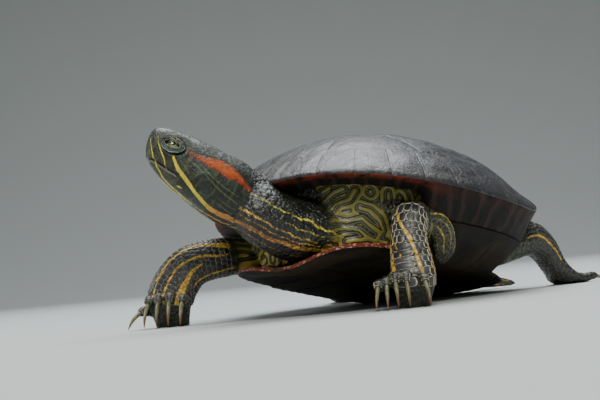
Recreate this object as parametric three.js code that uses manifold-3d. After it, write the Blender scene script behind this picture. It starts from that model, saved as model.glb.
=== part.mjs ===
// Red-eared slider turtle, life size, standing with its neck stretched up and its left hind leg pushed back.
// Millimetres, +Z up, the head faces -Y, +X is the animal's left. The origin is at the bottom centre.
// The shell is built level in its own group, which pitches and rolls it. Flesh is lofted along curved
// centrelines, parted with thin gaps, and carved where it meets its neighbours.
import * as THREE from 'three';
import { mergeVertices } from 'three/addons/utils/BufferGeometryUtils.js';
import Module from 'manifold-3d';

const wasm = await Module();
wasm.setup();

// ---------- driving dimensions ----------
const GAP = 0.3; // clearance between neighbours
const SHELL_HALF_LENGTH = 100;
const SHELL_HALF_WIDTH = 76.8;
const SHELL_SQUARENESS = 2.386; // exponent of the superellipse seen from above
const SHELL_REAR_WIDENING = 0.063;
const SHELL_PITCH = 10.3; // degrees, front up
const SHELL_ROLL = 6.3; // degrees, left side up
const SHELL_HEIGHT = 42.6; // of the margin's plane above the floor
const MARGIN_LIFT_FRONT = 7.75;
const MARGIN_LIFT_REAR = -1;
const CORNER_LIFT = 10; // upward flare of the margin at its rear corners
const CORNER_TURN = 132; // degrees round the margin from the front
const CORNER_SPREAD = 15;
const MARGIN_EDGE = 1.6;
const RIM_WIDTH = 0.14; // of the underside of the marginal scutes, as a share of the radius
const RIM_DEPTH = 3.4;
const DOME_HEIGHT = 44.7;
const DOME_POWER = 2.624;
const DOME_FULLNESS_SIDE = 0.794;
const DOME_FULLNESS_END = 0.936;
const DOME_REAR_BIAS = 0.02;
const REAR_FLARE = 3.2;
const BONE = 3.6; // thickness of shell
const SEAM_RADIUS = 0.875; // where the bridge meets the carapace
const SEAM_DROP = -15;
const BRIDGE_FRONT = [57, 66]; // degrees round the margin between which the bridge rises
const BRIDGE_REAR = [118, 127];
const PLASTRON_DROP = -31;
const PLASTRON_FRONT = { reach: 90, half: 46, squareness: 4.4 };
const PLASTRON_REAR = { reach: 90, half: 46, squareness: 3 };
const PLASTRON_CHIN = -6; // drop of the front lobe's middle
const PLASTRON_REAR_RISE = 4.2;
const SHELL_STEPS = 50;
const HEAD_AT = [-37.5, -140.1, 86.7]; // the snout's middle
const HEAD_PITCH = 29.9; // degrees, nose up
const HEAD_TURN = -33.3; // degrees, towards the animal's right
const MOUTH_CORNER = 14.4; // behind the snout
const MOUTH_LEVEL = -3.6; // at the snout
const MOUTH_SLOPE = 13; // degrees, down to the corners
const EYE = { along: 7.4, up: 5.7, out: 5.9, radii: [4.2, 4.7, 4] };
const FORE_CLAW = { length: 13.1, width: 2.3, bend: 20 }; // degrees either side of its mean fall
const HIND_CLAW = { length: 8, width: 2.2, bend: 10 };
const CLAW_CLEARANCE = 0.4; // of the tips above the floor

const rad = THREE.MathUtils.degToRad;
const mix = THREE.MathUtils.lerp;
const smooth = THREE.MathUtils.smoothstep;
const power = (value, exponent) => Math.sign(value) * Math.abs(value) ** exponent;

// ---------- materials ----------
function paint(color, roughness) {
  return new THREE.MeshStandardMaterial({ color, roughness, metalness: 0 });
}
const scuteMaterial = () => paint(0x2b2a30, 0.38);
const plastronMaterial = () => paint(0x4a3a22, 0.5);
const skinMaterial = () => paint(0x262b1e, 0.6);
const shoulderMaterial = () => paint(0x6d6a2c, 0.65);
const beakMaterial = () => paint(0x4b5132, 0.45);
const eyeMaterial = () => paint(0x2d3a22, 0.08);
const clawMaterial = () => paint(0xb9a277, 0.45);

// ---------- solids ----------
// A closed mesh from rings of equal length, each end closed by a fan to its middle.
function skinRings(rings) {
  const sides = rings[0].length;
  const total = (ring) => ring.reduce((sum, point) => sum.add(point), new THREE.Vector3());
  const middle = (ring) => total(ring).divideScalar(sides);
  const points = [...rings.flat(), middle(rings[0]), middle(rings[rings.length - 1])];
  const faces = [];
  for (let row = 0; row < rings.length - 1; row += 1) {
    for (let side = 0; side < sides; side += 1) {
      const next = (side + 1) % sides;
      const [a, b] = [row * sides + side, row * sides + next];
      faces.push(a, b, b + sides, a, b + sides, a + sides);
    }
  }
  const last = (rings.length - 1) * sides;
  for (let side = 0; side < sides; side += 1) {
    const next = (side + 1) % sides;
    faces.push(points.length - 2, next, side, points.length - 1, last + side, last + next);
  }
  const geometry = new THREE.BufferGeometry().setFromPoints(points);
  geometry.setIndex(faces);
  return geometry;
}

// Positions only, with shared vertices merged.
function bare(geometry) {
  const plain = geometry.clone();
  plain.deleteAttribute('normal');
  plain.deleteAttribute('uv');
  return mergeVertices(plain);
}

function toSolid(geometry) {
  const { attributes, index } = bare(geometry);
  const vertProperties = attributes.position.array;
  const triVerts = new Uint32Array(index.array);
  return new wasm.Manifold(new wasm.Mesh({ numProp: 3, vertProperties, triVerts }));
}

function toGeometry(solid) {
  const mesh = solid.getMesh();
  const geometry = new THREE.BufferGeometry();
  geometry.setAttribute('position', new THREE.BufferAttribute(new Float32Array(mesh.vertProperties), 3));
  geometry.setIndex([...mesh.triVerts]);
  return geometry;
}

// The same shape with its surface moved out by a distance.
function grown(geometry, distance = GAP) {
  const bigger = bare(geometry);
  bigger.computeVertexNormals();
  const { position, normal } = bigger.attributes;
  for (let index = 0; index < position.count; index += 1) {
    const outward = new THREE.Vector3().fromBufferAttribute(normal, index);
    const point = new THREE.Vector3().fromBufferAttribute(position, index);
    position.setXYZ(index, ...point.addScaledVector(outward, distance));
  }
  return bigger;
}

// What is cut from a neighbour to clear a shape. At its sharp folds the wider copies can fall short, and
// the tight one makes up for them.
function clearanceOf(geometry) {
  return [2 * GAP, GAP, 0.02].map((distance) => grown(geometry, distance));
}

function placed(geometry, matrix) {
  return geometry.clone().applyMatrix4(matrix);
}

function largest(solid) {
  return solid.decompose().reduce((best, piece) => (piece.volume() > best.volume() ? piece : best));
}

// Cuts each of the tools from a shape and keeps its main body.
function carved(geometry, tools) {
  const whole = tools.reduce((rest, tool) => rest.subtract(toSolid(tool)), toSolid(geometry));
  return toGeometry(largest(whole));
}

function joined(geometries) {
  return toGeometry(geometries.map(toSolid).reduce((sum, solid) => sum.add(solid)));
}

const BELOW_FLOOR = new THREE.BoxGeometry(900, 900, 100).translate(0, 0, -50);

// ---------- lofts ----------
// Stations give a centre, a width, a height and the way the upper side faces. Between them all of these
// follow Catmull-Rom curves, and every section is a superellipse square to the centreline.
class Loft {
  constructor(stations, sides = 14, squareness = 2.3) {
    const curve = (pick) => new THREE.CatmullRomCurve3(stations.map(pick), false, 'catmullrom');
    this.last = stations.length - 1;
    this.sides = sides;
    this.squareness = squareness;
    this.centre = curve(({ at }) => new THREE.Vector3(...at));
    this.size = curve(({ size }) => new THREE.Vector3(size[0], size[1], 0));
    this.face = curve(({ face }) => new THREE.Vector3(...face).normalize());
  }

  ring(station) {
    const share = station / this.last;
    const centre = this.centre.getPoint(share);
    const size = this.size.getPoint(share);
    const along = this.centre.getTangent(share);
    const across = new THREE.Vector3().crossVectors(this.face.getPoint(share), along).normalize();
    const up = new THREE.Vector3().crossVectors(along, across);
    return Array.from({ length: this.sides }, (_, side) => {
      const angle = (side / this.sides) * 2 * Math.PI;
      const wide = (size.x / 2) * power(Math.cos(angle), 2 / this.squareness);
      const tall = (size.y / 2) * power(Math.sin(angle), 2 / this.squareness);
      return centre.clone().addScaledVector(across, wide).addScaledVector(up, tall);
    });
  }

  // The stretch between two stations, with flat ends square to the centreline.
  part(from, to, steps, gapBefore = 0) {
    const length = this.centre.getLength() / this.last;
    const start = from + gapBefore / length;
    const stops = Array.from({ length: steps + 1 }, (_, step) => mix(start, to, step / steps));
    return skinRings(stops.map((stop) => this.ring(stop)));
  }
}

// ---------- shell ----------
// Everything on the shell is laid on rays from its centre, one for each step round the margin. A point is
// a share of the ray and a height over the margin's plane.
function halfTurn(turn) {
  return THREE.MathUtils.radToDeg(turn > Math.PI ? 2 * Math.PI - turn : turn);
}

function marginPoint(turn) {
  const ahead = power(Math.cos(turn), 2 / SHELL_SQUARENESS);
  const aside = power(Math.sin(turn), 2 / SHELL_SQUARENESS);
  const sag = (ahead > 0 ? MARGIN_LIFT_FRONT : MARGIN_LIFT_REAR) * ahead ** 2;
  const corner = CORNER_LIFT * Math.exp(-(((halfTurn(turn) - CORNER_TURN) / CORNER_SPREAD) ** 2));
  const widening = 1 - SHELL_REAR_WIDENING * ahead;
  const lift = sag + corner;
  return { ahead: SHELL_HALF_LENGTH * ahead, aside: SHELL_HALF_WIDTH * widening * aside, sag, corner, lift };
}

function domeHeight(turn, radius) {
  const margin = marginPoint(turn);
  const fullness = mix(DOME_FULLNESS_SIDE, DOME_FULLNESS_END, Math.cos(turn) ** 2);
  const edge = margin.sag * radius ** 2 + margin.corner * radius ** 7;
  const rise = DOME_HEIGHT * (1 - radius ** DOME_POWER) ** fullness + edge;
  const bias = 1 - (DOME_REAR_BIAS * margin.ahead * radius) / SHELL_HALF_LENGTH;
  const nearEdge = Math.exp(-(((radius - 0.9) / 0.07) ** 2));
  const flare = REAR_FLARE * smooth(-Math.cos(turn), -0.2, 0.9) * nearEdge;
  return rise * bias - flare;
}

function bridgeShare(turn) {
  return smooth(halfTurn(turn), ...BRIDGE_FRONT) * (1 - smooth(halfTurn(turn), ...BRIDGE_REAR));
}

// The inner edge of the underside of the marginal scutes: a rim at the openings, the seam at the bridge.
function rimEdge(turn) {
  const bridge = bridgeShare(turn);
  const radius = mix(1 - RIM_WIDTH, SEAM_RADIUS, bridge);
  return { radius, height: mix(marginPoint(turn).lift - RIM_DEPTH, SEAM_DROP, bridge), bridge };
}

function lobeShare(turn) {
  const { ahead, aside } = marginPoint(turn);
  const { reach, half, squareness } = ahead > 0 ? PLASTRON_FRONT : PLASTRON_REAR;
  return (Math.abs(ahead / reach) ** squareness + Math.abs(aside / half) ** squareness) ** (-1 / squareness);
}

function plastronHeight(turn, radius) {
  const { ahead, aside } = marginPoint(turn);
  const chin = PLASTRON_CHIN * smooth(ahead * radius, 50, 88) * Math.exp(-(((aside * radius) / 22) ** 2));
  return PLASTRON_DROP + chin + PLASTRON_REAR_RISE * smooth(-ahead * radius, 58, 96);
}

// A closed body from one profile for each ray, which runs from the axis out over the top, round the edge
// and back to the axis underneath.
function rayBody(profile) {
  const turns = Array.from({ length: SHELL_STEPS }, (_, step) => (step / SHELL_STEPS) * 2 * Math.PI);
  const rays = turns.map((turn) => profile(turn).map(([radius, height]) => {
    const { ahead, aside } = marginPoint(turn);
    return new THREE.Vector3(aside * radius, -ahead * radius, height);
  }));
  const rows = rays[0].map((_, row) => rays.map((ray) => ray[row]));
  return skinRings(rows.reverse());
}

const DOME_ROWS = [0.06, 0.26, 0.44, 0.6, 0.74, 0.85, 0.92, 0.97, 1];
const INNER_ROWS = [0.93, 0.82, 0.66, 0.4, 0.06];

function carapaceProfile(turn) {
  const { lift } = marginPoint(turn);
  const { radius, height, bridge } = rimEdge(turn);
  const outside = DOME_ROWS.map((share) => [share, domeHeight(turn, share)]);
  const lip = [0.997, lift - MARGIN_EDGE];
  const wall = [mix(0.998, radius, 0.5), mix(lip[1], height, 0.45)];
  const seamInside = [radius - mix(0, 0.045, bridge), height + mix(3, 0.8, bridge)];
  const corner = [mix(radius, 0.935, 0.65), lift + mix(1.4, 0, bridge)];
  const inside = INNER_ROWS.map((share) => [share, domeHeight(turn, share) - BONE]);
  return [...outside, lip, wall, [radius, height], seamInside, corner, ...inside];
}

function plastronProfile(turn) {
  const seam = rimEdge(turn);
  const lobe = lobeShare(turn);
  const edge = plastronHeight(turn, lobe);
  const { bridge } = seam;
  const top = seam.height - GAP - 0.1;
  const under = [0.05, 0.5, 0.93].map((share) => [share * lobe, plastronHeight(turn, share * lobe)]);
  const keel = [lobe * mix(1, 1.06, bridge), edge + mix(1.2, 1.4, bridge)];
  const flankHeight = mix(edge + 2.4, mix(edge, top, 0.5), bridge);
  const flank = [mix(lobe, mix(lobe, seam.radius, 0.6), bridge), flankHeight];
  const rimOut = [mix(lobe * 0.985, seam.radius, bridge), mix(edge + BONE, top, bridge)];
  const rimIn = [mix(lobe * 0.95, seam.radius - 0.045, bridge), mix(edge + BONE, top, bridge)];
  const hollow = [lobe * 0.9, edge + BONE + bridge * 0.6];
  const upper = [0.5, 0.05].map((share) => [share * lobe, plastronHeight(turn, share * lobe) + BONE]);
  return [...under, keel, flank, rimOut, rimIn, hollow, ...upper].reverse();
}

// The trunk fills the shell, and its skin shows in the front and rear openings.
const TRUNK_CLEARANCE = 0.8;
function trunkProfile(turn) {
  const { lift } = marginPoint(turn);
  const { radius, height, bridge } = rimEdge(turn);
  const lobe = lobeShare(turn);
  const roof = [...INNER_ROWS].reverse().slice(0, -1);
  const upper = roof.map((share) => [share, domeHeight(turn, share) - BONE - TRUNK_CLEARANCE]);
  const inner = radius - 0.045;
  const shoulder = [inner - mix(0.015, 0.01, bridge), mix(lift - 1.5, lift - 4, bridge)];
  const floor = plastronHeight(turn, lobe * 0.88) + BONE + TRUNK_CLEARANCE;
  const waistRadius = mix(Math.min(inner, lobe * 1.3) * 0.97, inner - 0.012, bridge);
  const waist = [waistRadius, mix(mix(lift, floor, 0.5), height, bridge)];
  const hem = [Math.min(inner - 0.03, lobe * 0.83), floor + 1];
  const offset = BONE + TRUNK_CLEARANCE;
  const lower = [0.5, 0.05].map((share) => [share * lobe, plastronHeight(turn, share * lobe) + offset]);
  return [...upper, shoulder, waist, hem, ...lower];
}

const shell = new THREE.Group();
shell.position.set(0, 0, SHELL_HEIGHT);
shell.rotation.set(-rad(SHELL_PITCH), -rad(SHELL_ROLL), 0);
shell.updateMatrix();
const intoShell = shell.matrix.clone().invert();

const carapace = rayBody(carapaceProfile);
const plastron = carved(rayBody(plastronProfile), [placed(BELOW_FLOOR, intoShell)]);
const trunk = rayBody(trunkProfile);
const shellTools = [carapace, plastron, trunk]
  .flatMap(clearanceOf)
  .map((tool) => placed(tool, shell.matrix));

// ---------- head ----------
// In the head's frame +Y runs back from the snout, +X is left and +Z is up.
const HEAD_SECTIONS = [
  { along: -3.6, top: 9.4, bottom: 5.6, width: 4.6 },
  { along: -2.8, top: 11.5, bottom: 1, width: 8.4 },
  { along: -0.4, top: 13.1, bottom: -3.4, width: 11.6 },
  { along: 3.2, top: 14.4, bottom: -6.5, width: 15 },
  { along: 7.4, top: 15.2, bottom: -8.4, width: 18.6 },
  { along: 12.6, top: 15.8, bottom: -10.3, width: 21.8 },
  { along: 19, top: 16.1, bottom: -12.1, width: 25 },
  { along: 26.4, top: 16.2, bottom: -13.7, width: 28.6 },
  { along: 34, top: 16, bottom: -15.5, width: 30.2 },
  { along: 41.2, top: 16.4, bottom: -16.4, width: 30 },
  { along: 46.6, top: 16, bottom: -16.8, width: 29.2 },
];
const HEAD_LENGTH = HEAD_SECTIONS[HEAD_SECTIONS.length - 1].along;
const HEAD_SIDES = 20;

// The sides lean in towards the crown, and the crown is flatter than the throat.
function headRing({ along, top, bottom, width }) {
  const middle = (top + bottom) / 2;
  return Array.from({ length: HEAD_SIDES }, (_, side) => {
    const angle = (-side / HEAD_SIDES) * 2 * Math.PI;
    const rise = power(Math.sin(angle), 0.88);
    const lean = 1 - 0.12 * rise;
    const out = (width / 2) * power(Math.cos(angle), 0.88) * lean;
    return new THREE.Vector3(out, along, middle + rise * ((top - bottom) / 2));
  });
}

const head = new THREE.Group();
head.position.set(...HEAD_AT);
head.rotation.set(-rad(HEAD_PITCH), 0, rad(HEAD_TURN), 'ZYX');
head.updateMatrix();

function eyeBall(side) {
  const ball = new THREE.SphereGeometry(1, 12, 9);
  ball.scale(...EYE.radii);
  ball.translate(side * EYE.out, EYE.along, EYE.up);
  return ball;
}

// The jaw is the block of the head under the mouth line and ahead of the corners.
function jawBlock(distance) {
  const depth = 30;
  const block = new THREE.BoxGeometry(60, 60, depth);
  block.translate(0, MOUTH_CORNER + distance - 30, distance - depth / 2);
  return block.rotateX(-rad(MOUTH_SLOPE)).translate(0, 0, MOUTH_LEVEL);
}

const eyes = { left: eyeBall(1), right: eyeBall(-1) };
const skullBlock = skinRings(HEAD_SECTIONS.map(headRing));
const skull = carved(skullBlock, [grown(eyes.left), grown(eyes.right), jawBlock(GAP)]);
const jaw = toGeometry(largest(toSolid(skullBlock).intersect(toSolid(jawBlock(0)))));

// ---------- neck ----------
const nape = new THREE.Vector3(0, HEAD_LENGTH + 2 * GAP, -0.5).applyMatrix4(head.matrix).toArray();
const headUp = new THREE.Vector3(0, 0, 1).transformDirection(head.matrix).toArray();
const headBack = new THREE.Vector3(0, 1, 0).transformDirection(head.matrix);
const behindNape = new THREE.Vector3(...nape).addScaledVector(headBack, 9).toArray();
const NECK = [
  { at: nape, size: [29.2, 31.7], face: headUp },
  { at: behindNape, size: [28, 30], face: headUp },
  { at: [-4.5, -100, 52], size: [28, 28.6], face: [0.25, 0.5, 0.82] },
  { at: [2, -87, 44.4], size: [31, 30.6], face: [0.05, 0.35, 0.93] },
  { at: [6.5, -72, 40.6], size: [38, 31], face: [-0.05, 0.2, 0.98] },
  { at: [6, -52, 38], size: [42, 31], face: [-0.1, 0.18, 0.98] },
];
const skullTools = clearanceOf(placed(skull, head.matrix));
const neck = carved(new Loft(NECK, 18).part(0, 5, 11), [...shellTools, ...skullTools]);

// ---------- legs and tail ----------
const LEFT_FORELEG = [
  { at: [43.4, -31, 38], size: [19, 19], face: [0.1, 0.1, 1] },
  { at: [50.5, -44, 42], size: [19.6, 19.4], face: [0.1, 0, 1] },
  { at: [53.4, -56, 41.6], size: [17.6, 18.6], face: [0.25, -0.55, 0.8] },
  { at: [55.2, -62, 31.6], size: [18.6, 16], face: [0.5, -0.84, 0.2] },
  { at: [57.2, -64.8, 22], size: [21, 14.4], face: [0.52, -0.85, 0.1] },
  { at: [58.8, -67, 13], size: [22, 14], face: [0.54, -0.84, 0.05] },
  { at: [57.7, -66, 5], size: [17.8, 10.6], face: [0.54, -0.84, 0.05] },
  { at: [56.4, -64.2, -4], size: [14.4, 9.2], face: [0.54, -0.84, 0.05] },
];
const RIGHT_FORELEG = [
  { at: [-37, -34, 30], size: [19, 17], face: [0.45, -0.3, 0.84] },
  { at: [-42, -56, 33], size: [20, 17], face: [0.56, -0.5, 0.6] },
  { at: [-51, -77, 33.4], size: [21, 16], face: [0.56, -0.8, 0.2] },
  { at: [-60.6, -88, 30.6], size: [22.4, 15.5], face: [0.5, -0.86, 0] },
  { at: [-67.6, -93, 23], size: [24, 15], face: [0.42, -0.9, 0] },
  { at: [-71.4, -95.6, 13.6], size: [24.8, 14.4], face: [0.36, -0.93, 0.05] },
  { at: [-72.2, -94.6, 5], size: [20.4, 10.8], face: [0.36, -0.93, 0.05] },
  { at: [-72.6, -93, -4], size: [17, 9.4], face: [0.36, -0.93, 0.05] },
];
// Loose skin of the armpit, which bulges out behind the raised left foreleg and lies on the bridge.
const BRIDGE_FACE = [0.74, -0.24, -0.63];
const LEFT_ARMPIT = [
  { at: [53, -47, 43.4], size: [13, 10], face: BRIDGE_FACE },
  { at: [60, -43, 41], size: [12.6, 6.6], face: BRIDGE_FACE },
  { at: [61, -37.7, 35.2], size: [13.6, 5.4], face: BRIDGE_FACE },
  { at: [58.3, -32, 28.9], size: [14.4, 5.4], face: BRIDGE_FACE },
  { at: [55.4, -27.4, 23.8], size: [12, 4.8], face: BRIDGE_FACE },
  { at: [51.6, -23, 20], size: [5, 2.6], face: BRIDGE_FACE },
];
const LEFT_HIND_LEG = [
  { at: [37, 42, 23], size: [24, 20], face: [0.1, 0.1, 1] },
  { at: [45, 62, 26.4], size: [24, 21], face: [0.1, 0, 1] },
  { at: [51.5, 78, 29], size: [21, 20], face: [0.1, 0.3, 1] },
  { at: [55, 90.5, 22.6], size: [18, 16], face: [0.25, 0.7, 0.7] },
  { at: [57, 99.5, 11.8], size: [17, 12], face: [0.2, 0.5, 0.85] },
  { at: [58.6, 110, 3.6], size: [23, 7.6], face: [0, 0.1, 1] },
  { at: [59.4, 121, 2.2], size: [28, 4.8], face: [0, 0, 1] },
];
const RIGHT_HIND_LEG = [
  { at: [-34, 42, 17], size: [23, 18], face: [0, 0.1, 1] },
  { at: [-48, 50, 17], size: [23, 19], face: [0, 0.1, 1] },
  { at: [-63, 57, 17.4], size: [20, 18], face: [-0.4, 0.1, 1] },
  { at: [-72, 66, 13.6], size: [17, 15], face: [-0.7, 0.3, 0.7] },
  { at: [-76.5, 76, 8], size: [18, 11.6], face: [-0.4, 0.3, 0.85] },
  { at: [-80, 88, 3.5], size: [24, 7.4], face: [0, 0, 1] },
  { at: [-83, 99, 2.2], size: [28, 4.8], face: [0, 0, 1] },
];
const TAIL = [
  { at: [2, 66, 13], size: [20, 17], face: [0, 0, 1] },
  { at: [2, 84, 10.8], size: [17, 14.6], face: [0, 0, 1] },
  { at: [4, 102, 7.4], size: [12, 10.6], face: [0, 0, 1] },
  { at: [8, 118, 4.6], size: [7.6, 6.8], face: [0, 0, 1] },
  { at: [13, 132, 2.6], size: [3.4, 3.2], face: [0, 0, 1] },
  { at: [14.5, 135, 2.2], size: [1, 1], face: [0, 0, 1] },
];

// Digits fan out from a foot. Each is given as its distance aside, its turn and its distance down.
const FEET = {
  fore_left: { heel: [59, -67.6], heading: 31, root: 13, reach: 8.6, claw: FORE_CLAW,
    digits: [[-16, -10, 2.2], [-12.9, -2, 1.4], [-9.6, 5, 0], [-4.8, 8, 0], [3.2, 14, 1.2]] },
  fore_right: { heel: [-71.6, -96.6], heading: 14, root: 13, reach: 8.6, claw: FORE_CLAW,
    digits: [[9.8, 11, 1], [3.2, 8, 0], [-2.8, 5, 0], [-7.8, -1, 0.6], [-11, -13, 4.6]] },
  hind_left: { heel: [59, 118], heading: 176, root: 2.9, reach: 8.2, claw: HIND_CLAW,
    digits: [[-9.6, -20, 0], [-3.2, -7, 0], [3.2, 7, 0], [9.6, 20, 0]] },
  hind_right: { heel: [-82, 94.6], heading: -166, root: 2.9, reach: 9, claw: HIND_CLAW,
    digits: [[-9.6, -20, 0], [-3.2, -7, 0], [3.2, 7, 0], [9.6, 20, 0]] },
};

// Every digit lies in a frame of its own: it starts at the root of the fan and points down its own -Y.
// It falls by the mean angle that brings the claw's tip to the floor.
function digitsOf({ heel, heading, root, reach, claw, digits }) {
  const middle = new THREE.Matrix4().makeRotationZ(rad(heading)).setPosition(heel[0], heel[1], root);
  return digits.map(([aside, turn, down]) => {
    const digit = new THREE.Matrix4().makeRotationZ(rad(turn)).setPosition(aside, 0, -down);
    const fall = Math.asin((root - down - CLAW_CLEARANCE) / (claw.length + 0.5));
    return { frame: middle.clone().multiply(digit), fall, reach, claw, height: root - down };
  });
}

// A unit vector in the digit's frame, which falls below level by an angle.
function falling(angle) {
  return new THREE.Vector3(0, -Math.cos(angle), -Math.sin(angle));
}

// The fleshy stub arches over its knuckle and ends flat where the claw starts.
function digitStub({ fall, reach, claw, height }) {
  const start = fall - rad(claw.bend);
  const end = new THREE.Vector3(0, -reach, 0);
  const knuckle = end.clone().addScaledVector(falling(start), -3.6);
  const thick = Math.min(5.8, 2 * height - 0.4);
  const face = [0, -Math.sin(start), Math.cos(start)];
  return new Loft([
    { at: [0, 3, knuckle.z - 1], size: [6.4, thick], face: [0, 0, 1] },
    { at: knuckle.toArray(), size: [5.4, thick * 0.9], face: [0, -0.3, 1] },
    { at: end.toArray(), size: [claw.width + 1.4, claw.width * 1.3 + 1], face },
  ], 7).part(0, 2, 3);
}

// The claw bends down steadily and tapers to a blunt point.
function clawShape({ fall, reach, claw }) {
  const steps = 3;
  const aim = (share) => falling(fall + rad(mix(-claw.bend, claw.bend, share)));
  const point = new THREE.Vector3(0, -reach, 0).addScaledVector(aim(0), 0.5);
  const stations = Array.from({ length: steps + 1 }, (_, step) => {
    const share = step / steps;
    const heading = aim(share);
    const thick = claw.width * (1 - 0.84 * share ** 2.4);
    const size = [thick, thick * mix(1.3, 1, share)];
    const station = { at: point.toArray(), size, face: [0, heading.z, -heading.y] };
    point.addScaledVector(aim(share + 0.5 / steps), claw.length / steps);
    return station;
  });
  return new Loft(stations, 6, 2).part(0, steps, steps);
}

// ---------- assembly ----------
const SPLIT = 0.4; // parting between the lengths of a limb
const turtle = new THREE.Group();
turtle.add(shell, head);

function add(parent, name, geometry, material) {
  const mesh = new THREE.Mesh(geometry, material);
  mesh.name = name;
  parent.add(mesh);
  return mesh;
}

function addLimb(stations, names, cuts, spec, side, folds = []) {
  const loft = new Loft(stations, 12);
  const [root, middle] = cuts;
  const end = stations.length - 1;
  const shoulder = joined([loft.part(0, root, 4), ...folds]);
  const upper = carved(shoulder, [...shellTools, ...clearanceOf(neck)]);
  const lower = carved(loft.part(root, middle, 5, SPLIT), [...shellTools, ...clearanceOf(upper)]);
  const digits = digitsOf(spec);
  const stubs = digits.map((digit) => placed(digitStub(digit), digit.frame));
  const palm = loft.part(middle, end, 4, SPLIT);
  const foot = carved(joined([palm, ...stubs]), [BELOW_FLOOR, ...clearanceOf(lower)]);
  add(turtle, `${names[0]}_${side}`, upper, skinMaterial());
  add(turtle, `${names[1]}_${side}`, lower, skinMaterial());
  add(turtle, `${names[2]}_${side}`, foot, skinMaterial());
  digits.forEach((digit, index) => {
    const claw = add(turtle, `claw_${names[3]}_${side}_${index + 1}`, clawShape(digit), clawMaterial());
    claw.applyMatrix4(digit.frame);
  });
}

add(shell, 'carapace', carapace, scuteMaterial());
add(shell, 'plastron', plastron, plastronMaterial());
add(shell, 'trunk', trunk, shoulderMaterial());
add(head, 'head', skull, skinMaterial());
add(head, 'lower_jaw', jaw, beakMaterial());
add(head, 'eye_left', eyes.left, eyeMaterial());
add(head, 'eye_right', eyes.right, eyeMaterial());
add(turtle, 'neck', neck, skinMaterial());
const armpit = new Loft(LEFT_ARMPIT, 10).part(0, 5, 10);
addLimb(LEFT_FORELEG, ['upper_arm', 'forearm', 'hand', 'fore'], [2.3, 5.2], FEET.fore_left, 'left', [armpit]);
addLimb(RIGHT_FORELEG, ['upper_arm', 'forearm', 'hand', 'fore'], [3.2, 5.2], FEET.fore_right, 'right');
addLimb(LEFT_HIND_LEG, ['thigh', 'shank', 'foot', 'hind'], [2.3, 4.1], FEET.hind_left, 'left');
addLimb(RIGHT_HIND_LEG, ['thigh', 'shank', 'foot', 'hind'], [2.3, 4.1], FEET.hind_right, 'right');
add(turtle, 'tail', carved(new Loft(TAIL, 10).part(0, 5, 8), [...shellTools, BELOW_FLOOR]), skinMaterial());

// The model stands on the floor, centred on its box.
const box = new THREE.Box3().setFromObject(turtle, true);
const centre = box.getCenter(new THREE.Vector3());
turtle.position.set(-centre.x, -centre.y, -box.min.z);
const model = new THREE.Group();
model.add(turtle);

export default model;
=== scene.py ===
"""A red-eared slider turtle, life size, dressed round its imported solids.

Lengths in the functions are in millimetres, in the frame the animal was measured in: +X is its left, the
head faces -Y and the floor is at Z = 0. `to_frame` carries them into the frame of the solids, in metres.
"""

import bmesh
import bpy
import numpy as np
from bpy.props import FloatProperty, FloatVectorProperty, IntProperty, PointerProperty
from mathutils import Matrix, Vector


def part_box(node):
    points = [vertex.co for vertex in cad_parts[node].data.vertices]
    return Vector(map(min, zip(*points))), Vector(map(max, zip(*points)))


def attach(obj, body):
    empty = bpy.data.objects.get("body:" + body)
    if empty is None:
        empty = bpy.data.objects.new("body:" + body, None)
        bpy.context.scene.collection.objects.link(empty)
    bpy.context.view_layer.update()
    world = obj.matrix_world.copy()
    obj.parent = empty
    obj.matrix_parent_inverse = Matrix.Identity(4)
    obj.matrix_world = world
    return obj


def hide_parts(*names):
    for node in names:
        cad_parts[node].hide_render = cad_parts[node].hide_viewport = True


bl_info = {
    "name": "Red-eared Slider",
    "version": (1, 0, 0),
    "blender": (4, 5, 0),
    "location": "View3D > Sidebar > Turtle",
    "description": "Dresses the solids of a red-eared slider turtle in its shell, skin and scales",
    "category": "Object",
}

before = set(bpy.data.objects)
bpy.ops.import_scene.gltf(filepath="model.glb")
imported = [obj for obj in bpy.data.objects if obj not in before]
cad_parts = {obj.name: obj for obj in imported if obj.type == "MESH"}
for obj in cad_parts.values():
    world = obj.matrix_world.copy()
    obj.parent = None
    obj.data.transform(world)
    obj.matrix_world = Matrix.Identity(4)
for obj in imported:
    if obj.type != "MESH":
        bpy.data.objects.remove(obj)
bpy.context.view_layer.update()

# ---------- the animal's measures, as in the solids ----------
HALF_LENGTH = 100.0
HALF_WIDTH = 76.8
SHELL_SQUARENESS = 2.386
REAR_WIDENING = 0.063
SHELL_PITCH = 10.3
SHELL_ROLL = 6.3
SHELL_HEIGHT = 42.6
LIFT_FRONT = 7.75
LIFT_REAR = -1.0
CORNER_LIFT = 10.0
CORNER_TURN = 132.0
CORNER_SPREAD = 15.0
MARGIN_EDGE = 1.6
RIM_WIDTH = 0.14
RIM_DEPTH = 3.4
RIM_INSET = 0.045
DOME_HEIGHT = 44.7
DOME_POWER = 2.624
DOME_FULLNESS = (0.794, 0.936)
DOME_REAR_BIAS = 0.02
REAR_FLARE = 3.2
BONE = 3.6
SEAM_RADIUS = 0.875
SEAM_DROP = -15.0
BRIDGE_FRONT = (57, 66)
BRIDGE_REAR = (118, 127)
PLASTRON_DROP = -31.0
LOBE_FRONT = (90, 46, 4.4)
LOBE_REAR = (90, 46, 3.0)
PLASTRON_CHIN = -6.0
PLASTRON_REAR_RISE = 4.2
TRUNK_CLEARANCE = 0.8
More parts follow.
